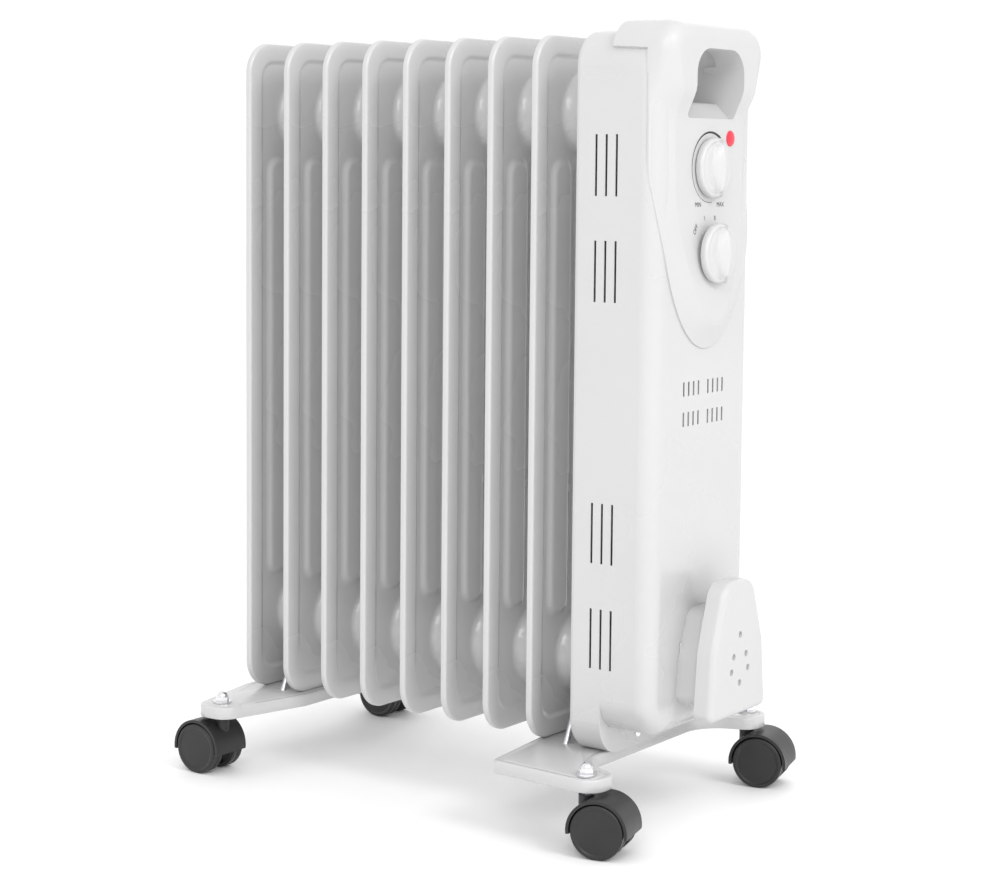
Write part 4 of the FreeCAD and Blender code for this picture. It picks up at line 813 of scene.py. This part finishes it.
@dataclass
class Printing:
    """Printed dial marks: the growing heat arc, its ends, and the four switch marks."""

    arc_radius: float = 26.6
    arc_width: float = 2.6
    lift: float = 0.12
    letter: float = 5.2

    def __post_init__(self) -> None:
        """Read where the two dials sit."""
        self.face_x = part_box("side_cover")[1].x / MM
        self.middles = {}
        for dial in ("thermostat", "selector"):
            low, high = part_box(f"{dial}_knob")
            self.middles[dial] = (low.z + high.z) / 2 / MM
        self.panel = ControlPanel()

    def level(self, z: float) -> float:
        """Where the printed face lies along X at a height above the floor."""
        return self.face_x + float(self.panel.face_level(np.array([z - self.panel.foot]))[0]) + self.lift

    def strip(self, name: str, middle: float, radius: float, start: float, end: float,
              width: Callable[[float], float]) -> bpy.types.Object:
        """Thin printed arc about a dial.

        Args:
            name: the piece's name.
            middle: height of the dial's axis.
            radius: inner radius.
            start: first angle in degrees, from +Y towards +Z.
            end: last angle.
            width: width of the print at a share of the arc.

        Returns:
            The printed piece.
        """
        points = []
        shares = np.linspace(0.0, 1.0, 64)
        for share in shares:
            angle = math.radians(start + (end - start) * share)
            for reach in (radius, radius + width(float(share))):
                z = middle + reach * math.sin(angle)
                points.append((self.level(z), reach * math.cos(angle), z))
        return new_piece(name, np.array(points) * MM, ring_faces(len(shares), 2, 0, False), INK)

    def word(self, name: str, text: str, y: float, z: float, tilt: float) -> bpy.types.Object:
        """Small printed word on the panel's face."""
        curve = bpy.data.curves.new(name, "FONT")
        curve.body = text
        curve.size = self.letter * MM
        curve.align_x = "CENTER"
        curve.align_y = "CENTER"
        mesh = mesh_of(curve, INK)
        lean = math.atan2(self.level(z - 2) - self.level(z + 2), 4.0)
        turn = Matrix.Rotation(math.radians(90), 4, "Z") @ Matrix.Rotation(math.radians(90), 4, "X")
        turn = Matrix.Rotation(-lean, 4, "Y") @ Matrix.Rotation(math.radians(tilt), 4, "X") @ turn
        mesh.transform(Matrix.Translation((self.level(z) * MM, y * MM, z * MM)) @ turn)
        return link(name, mesh)

    def build(self) -> None:
        """Print every mark."""
        heat, switch = self.middles["thermostat"], self.middles["selector"]
        swell = self.arc_width

        def growing(share: float) -> float:
            """Width of the heat arc: a hair line that grows and ends in a point."""
            return 0.35 + (swell - 0.35) * share ** 2.2 if share < 0.86 else swell * (1 - share) / 0.14 + 0.05

        marks = [self.strip("heat_arc", heat, self.arc_radius, 278, 28, growing),
                 self.strip("heat_dash", heat, self.arc_radius, -42, -24, lambda share: 1.9 - 1.7 * share),
                 self.word("mark_min", "MIN", -17.0, heat - 28.5, 0),
                 self.word("mark_max", "MAX", 17.0, heat - 28.5, 0),
                 self.word("mark_off", "OFF", -22.5, switch + 18.6, 50),
                 self.word("mark_one", "I", -7.8, switch + 27.0, 12),
                 self.word("mark_two", "II", 7.8, switch + 27.0, -12),
                 self.word("mark_both", "+", 22.5, switch + 19.0, -45)]
        for mark in marks:
            keep(mark, BODY, INK)


@dataclass
class PilotLens:
    """Domed red lens with a fine rim."""

    dome: float = 1.6

    def build(self) -> None:
        """Make the lens over its seat."""
        low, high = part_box("pilot_lens")
        radius = (high.y - low.y) / 2 / MM
        depth = (high.x - low.x) / MM
        centre = Vector((low.x, (low.y + high.y) / 2, (low.z + high.z) / 2))
        profile = [(0.0, 0.0), (radius - 1.2, 0.0), (radius - 1.0, depth - 2.0), (radius, depth - 1.9),
                   (radius, depth - self.dome), (radius - 0.3, depth - self.dome + 0.3)]
        for angle in np.linspace(0.25, math.pi / 2, 9):
            profile.append(((radius - 0.5) * math.cos(angle),
                            depth - self.dome + self.dome * math.sin(angle)))
        piece = turned_piece("pilot_light_lens", profile, centre, Vector((1, 0, 0)), LENS, 64)
        keep(piece, BODY, LENS, "pilot_lens")


# ---------------------------------------------------------------- feet and casters

@dataclass
class Feet:
    """Two pressed feet with a turned edge and embossed lines that follow it."""

    flange: float = 10.0
    edge: float = 1.8
    stem_radius: float = 16.0
    half: float = 35.0
    taper: float = 12.0
    waist: float = 34.0

    def rear(self) -> np.ndarray:
        """Outline of the rear foot."""
        low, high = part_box("rear_foot")
        stems = [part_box(f"rear_{side}_caster_axle") for side in ("left", "right")]
        stem_y = (stems[1][0].y + stems[1][1].y) / 2 / MM
        stem_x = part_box("fin_1")[0].x / MM + 15 + 12.0
        middle = (low.x + high.x) / 2 / MM
        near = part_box("fin_1")[1].y / MM - 16
        reach, tip, soft = stem_y + self.stem_radius, self.stem_radius, self.stem_radius - 0.5
        right = [(stem_x + tip, -reach, soft), (middle + self.half, -near, self.waist),
                 (middle + self.half, near, self.waist), (stem_x + tip, reach, soft)]
        left = [(stem_x - tip, reach, soft), (middle - self.half, near, self.waist),
                (middle - self.half, -near, self.waist), (stem_x - tip, -reach, soft)]
        return rounded_outline(right + left, 14)

    def front(self) -> np.ndarray:
        """Outline of the front foot, whose ears carry the stems forward."""
        low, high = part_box("front_foot")
        stem_y = high.y / MM - self.stem_radius
        stem_y = round(stem_y)
        back, tip_x = low.x / MM, high.x / MM
        outer, inner = high.y / MM + 0.1, stem_y - self.stem_radius
        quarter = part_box("fin_9")[1].y / MM / 2
        soft = self.stem_radius - 0.5
        right = [(back + self.taper, outer - 7.0, 8.0), (tip_x, outer, soft), (tip_x, inner, soft),
                 (back + 2 * self.half, inner - self.stem_radius, self.waist)]
        left = [(x, -y, radius) for x, y, radius in right]
        middle = [(back, quarter, self.waist), (back, -quarter, self.waist)]
        return rounded_outline(left + right[::-1] + middle, 14)

    def build(self) -> None:
        """Make both feet."""
        for end, outline in (("rear", self.rear()), ("front", self.front())):
            self.plate(end, spaced(outline, 6.0))

    def plate(self, end: str, outline: np.ndarray) -> None:
        """Press one foot from its outline."""
        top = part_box(f"{end}_foot")[1].z / MM
        profile = [(0.3, -self.flange), (0.0, -self.flange + 0.3), (0.0, -self.edge)]
        profile += [(self.edge * (1 - math.cos(a)), -self.edge * (1 - math.sin(a)))
                    for a in np.linspace(0.25, math.pi / 2, 5)]
        profile += [(3.6, 0.0), (4.2, -0.25), (4.8, -0.8), (5.4, -1.0), (6.2, -0.8), (6.8, -0.2), (7.2, 0.0)]
        rings = [np.column_stack([inset(outline, d), np.full(len(outline), top + z)]) for d, z in profile]
        under = [(1.5, -self.flange), (1.5, -2.6)]
        rings = [np.column_stack([inset(outline, d), np.full(len(outline), top + z)])
                 for d, z in reversed(under)] + rings
        count, levels = len(outline), len(rings)
        faces = ring_faces(levels, count)
        faces += [tuple(range((levels - 1) * count, levels * count)), tuple(range(count - 1, -1, -1))]
        piece = new_piece(f"{end}_pressed_foot", np.vstack(rings) * MM, faces, ENAMEL)
        keep(piece, BODY, ENAMEL, f"{end}_foot")


@dataclass
class Bolts:
    """U-bolts that pass over the lower header and splay down to the feet."""

    splay: float = 57.0
    radius: float = 2.9
    grip: float = 31.0
    tail: float = 5.0

    def build(self) -> None:
        """Bend both bolts."""
        for end in ("rear", "front"):
            self.bolt(end)

    def bolt(self, end: str) -> None:
        """Bend one bolt between two fins."""
        low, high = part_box(f"{end}_u_bolt")
        x = (low.x + high.x) / 2
        axis_z = (high.z / MM) - self.grip - self.radius - 2.0
        foot_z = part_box(f"{end}_foot")[1].z / MM - self.tail
        reach = math.hypot(self.splay, axis_z - foot_z)
        lean = math.atan2(axis_z - foot_z, self.splay) + math.acos(self.grip / reach) - math.pi
        turns = [math.pi / 2 + (math.pi / 2 + lean) * share for share in np.linspace(-1.0, 1.0, 25)]
        arc = [(self.grip * math.cos(a), axis_z + self.grip * math.sin(a)) for a in turns]
        route = [(self.splay, foot_z)] + arc + [(-self.splay, foot_z)]
        curve = bpy.data.curves.new(f"{end}_bolt_line", "CURVE")
        curve.dimensions = "3D"
        curve.bevel_depth = self.radius * MM
        curve.bevel_resolution = 5
        curve.use_fill_caps = True
        line = curve.splines.new("POLY")
        line.points.add(len(route) - 1)
        for point, (y, z) in zip(line.points, route):
            point.co = (x, y * MM, z * MM, 1.0)
        mesh = mesh_of(curve, ZINC)
        mesh.shade_smooth()
        keep(link(f"{end}_bent_bolt", mesh), BODY, ZINC, f"{end}_u_bolt")


@dataclass
class Casters:
    """Twin wheels under each hood: a tread, a rounded shoulder and a slightly sunk disc."""

    shoulder: float = 1.6
    disc_radius: float = 17.2
    sink: float = 0.7
    dome: float = 0.9

    def wheel(self, caster: str, side: str) -> None:
        """Turn one wheel in its place."""
        joint = next(j for j in frame["joints"] if j["child"] == f"{caster}_wheel_{side}")
        hub = Vector(joint["pos_m"])
        low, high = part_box(f"{caster}_wheel_{side}")
        middle = (low + high) / 2
        axis = Vector(joint["axis"])
        reach = (middle - hub).dot(axis)
        outward = axis if reach > 0 else -axis
        radius = (high.z - low.z) / 2 / MM
        half = 6.0
        centre = hub + outward * abs(reach)
        profile = [(0.0, -half + 2), (5.4, -half + 2), (5.4, half - 3.2), (radius - 2.6, half - 3.4),
                   (radius - 2.6, -half + 0.4), (radius - 0.7, -half), (radius, -half + 0.9)]
        profile += [(radius, -1.4), (radius - 0.35, -1.1), (radius - 0.35, 1.1), (radius, 1.4)]
        profile += [(radius - self.shoulder * (1 - math.cos(a)), half - self.shoulder * (1 - math.sin(a)))
                    for a in np.linspace(0.0, math.pi / 2, 6)]
        profile += [(self.disc_radius + 0.9, half), (self.disc_radius + 0.4, half - 0.25),
                    (self.disc_radius, half - self.sink), (self.disc_radius - 0.8, half - self.sink)]
        profile += [(self.disc_radius * s, half - self.sink + self.dome * 0.5 * (1 - s * s))
                    for s in (0.8, 0.6, 0.4, 0.2, 0.0)]
        piece = turned_piece(f"{caster}_turned_wheel_{side}", profile, centre, outward, BLACK, 96)
        soften(piece, 0.2, 60.0, 2)
        keep(piece, f"{caster}_wheel_{side}", BLACK, f"{caster}_wheel_{side}")

    def build(self) -> None:
        """Dress the four casters."""
        for caster in CASTERS:
            for side in ("a", "b"):
                self.wheel(caster, side)
            dress(f"{caster}_caster_axle", STEEL)
            soften(frame["nodes"][f"{caster}_caster_hood"], 0.7)


def dress(node: str, finish: Finish) -> None:
    """Give a carried-over node its finish."""
    piece = frame["nodes"][node]
    if not piece.material_slots:
        piece.data.materials.append(finish.material())
    for place in piece.material_slots:
        place.material = finish.material()


@dataclass
class CordWrap:
    """Small steel plate beside the core that holds the end of the wound cord."""

    width: float = 14.0
    height: float = 38.0
    thickness: float = 1.6
    sheet_depth: float = 3.0
    sheet_half: float = 24.0
    sheet_low: float = 8.0
    sheet_high: float = 70.0

    def build(self) -> None:
        """Make the plate, then the dark sheet of painted shade inside the cap."""
        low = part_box("cord_wrap_core")[0]
        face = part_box("side_cover")[1].x / MM
        y = low.y / MM + 4.0
        z = low.z / MM + 10.0
        ring = rounded_outline([(y, z, 2.0), (y + self.width, z, 2.0), (y + self.width, z + self.height, 2.0),
                                (y, z + self.height, 2.0)], 5)
        count = len(ring)
        sections = ((0.0, 0.0), (0.0, self.thickness - 0.5), (0.5, self.thickness))
        rings = [np.column_stack([np.full(count, face + x), inset(ring, d)]) for d, x in sections]
        faces = ring_faces(3, count) + [tuple(range(2 * count, 3 * count)), tuple(range(count - 1, -1, -1))]
        piece = new_piece("cord_end_plate", np.vstack(rings) * MM, faces, MOULDING)
        keep(piece, BODY, MOULDING)
        self.painted_shade_sheet()

    def painted_shade_sheet(self) -> None:
        """Dark sheet inside the cap, seen through its holes: painted shade that stands in for the shadow
        inside the cap.
        """
        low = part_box("cord_wrap_cap")[0]
        x, y = low.x / MM + self.sheet_depth, self.sheet_half
        foot, top = low.z / MM + self.sheet_low, low.z / MM + self.sheet_high
        corners = np.array([(x, -y, foot), (x, y, foot), (x, y, top), (x, -y, top)])
        # Painted shade: a near black sheet where the inside of the cap is only in shadow.
        keep(new_piece("cap_painted_shade", corners * MM, [(0, 1, 2, 3)], SEAL), BODY, SEAL)


# ---------------------------------------------------------------- surroundings

@dataclass
class Studio:
    """Pale floor, soft light and the camera."""

    heading: float = 125.56
    pitch: float = -4.717
    roll: float = 0.51
    lens: float = 80.05
    stand: tuple[float, float, float] = (1279.8, -1501.3, 457.7)
    shift: Point2 = (0.0042, -0.095)
    floor_half: float = 9.0

    def camera(self) -> None:
        """Set the camera, placed from the first fin's foot."""
        low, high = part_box("fin_1")
        origin = Vector(((low.x + high.x) / 2, 0.0, low.z))
        turn, dip = math.radians(self.heading), math.radians(self.pitch)
        forward = Vector((math.cos(dip) * math.cos(turn), math.cos(dip) * math.sin(turn), math.sin(dip)))
        right = forward.cross(Vector((0, 0, 1))).normalized()
        right = Matrix.Rotation(math.radians(-self.roll), 3, forward) @ right
        up = right.cross(forward)
        data = bpy.data.cameras.new("view")
        data.lens = self.lens
        data.sensor_width = 36.0
        data.shift_x, data.shift_y = self.shift
        data.clip_end = 60.0
        camera = link("view", data)
        camera.matrix_world = Matrix.Translation(origin + Vector(self.stand) * MM) @ Matrix(
            (right, up, -forward)).transposed().to_4x4()
        bpy.context.scene.camera = camera

    def lamp(self, name: str, place: tuple[float, float, float], size: float, power: float) -> None:
        """Hang a soft square lamp that looks at the heater's middle."""
        data = bpy.data.lights.new(name, "AREA")
        data.size = size
        data.energy = power
        lamp = link(name, data)
        lamp.location = place
        lamp.rotation_euler = (Vector((0.0, 0.0, 0.35)) - Vector(place)).to_track_quat("-Z", "Y").to_euler()

    def floor(self) -> None:
        """Lay the pale floor."""
        half = self.floor_half
        corners = np.array([(-half, -half, 0), (half, -half, 0), (half, half, 0), (-half, half, 0)])
        paper = Finish("pale_floor", "", (0.97, 0.97, 0.97), (0.965, 0.965, 0.965), 0.6, grain_scale=200.0,
                       grain_height=0.02, mottle_scale=2.0)
        new_piece("floor", corners, [(0, 1, 2, 3)], paper)

    def build(self) -> None:
        """Set up the whole studio."""
        self.camera()
        self.floor()
        bpy.context.scene.view_settings.view_transform = "Standard"
        world = bpy.data.worlds.new("studio")
        world.use_nodes = True
        sky = world.node_tree.nodes["Background"]
        sky.inputs["Color"].default_value = (1.0, 1.0, 1.0, 1.0)
        sky.inputs["Strength"].default_value = 1.06
        bpy.context.scene.world = world
        self.lamp("key", (1.6, -2.8, 2.4), 1.6, 34.0)
        self.lamp("end", (3.0, -0.6, 2.6), 1.2, 36.0)
        self.lamp("back", (-1.0, 3.0, 2.2), 1.6, 10.0)


def main() -> None:
    """Build and dress every sub-assembly in order."""
    logging.basicConfig(level=logging.INFO, format="%(name)s: %(message)s")
    for finish, nodes in CAD_FINISHES.items():
        for node in nodes:
            dress(node, finish)
    for node, width in (("cap_nuts", 0.35), ("cord_wrap_core", 0.8)):
        soften(frame["nodes"][node], width)
    parts = (Studio(), Fins(), ControlPanel(), Knob("thermostat"), Knob("selector"), Printing(), PilotLens(),
             Feet(), Bolts(), Casters(), CordWrap())
    for part in parts:
        part.build()
        LOG.info("built %s", type(part).__name__)


if __name__ == "__main__":
    main()
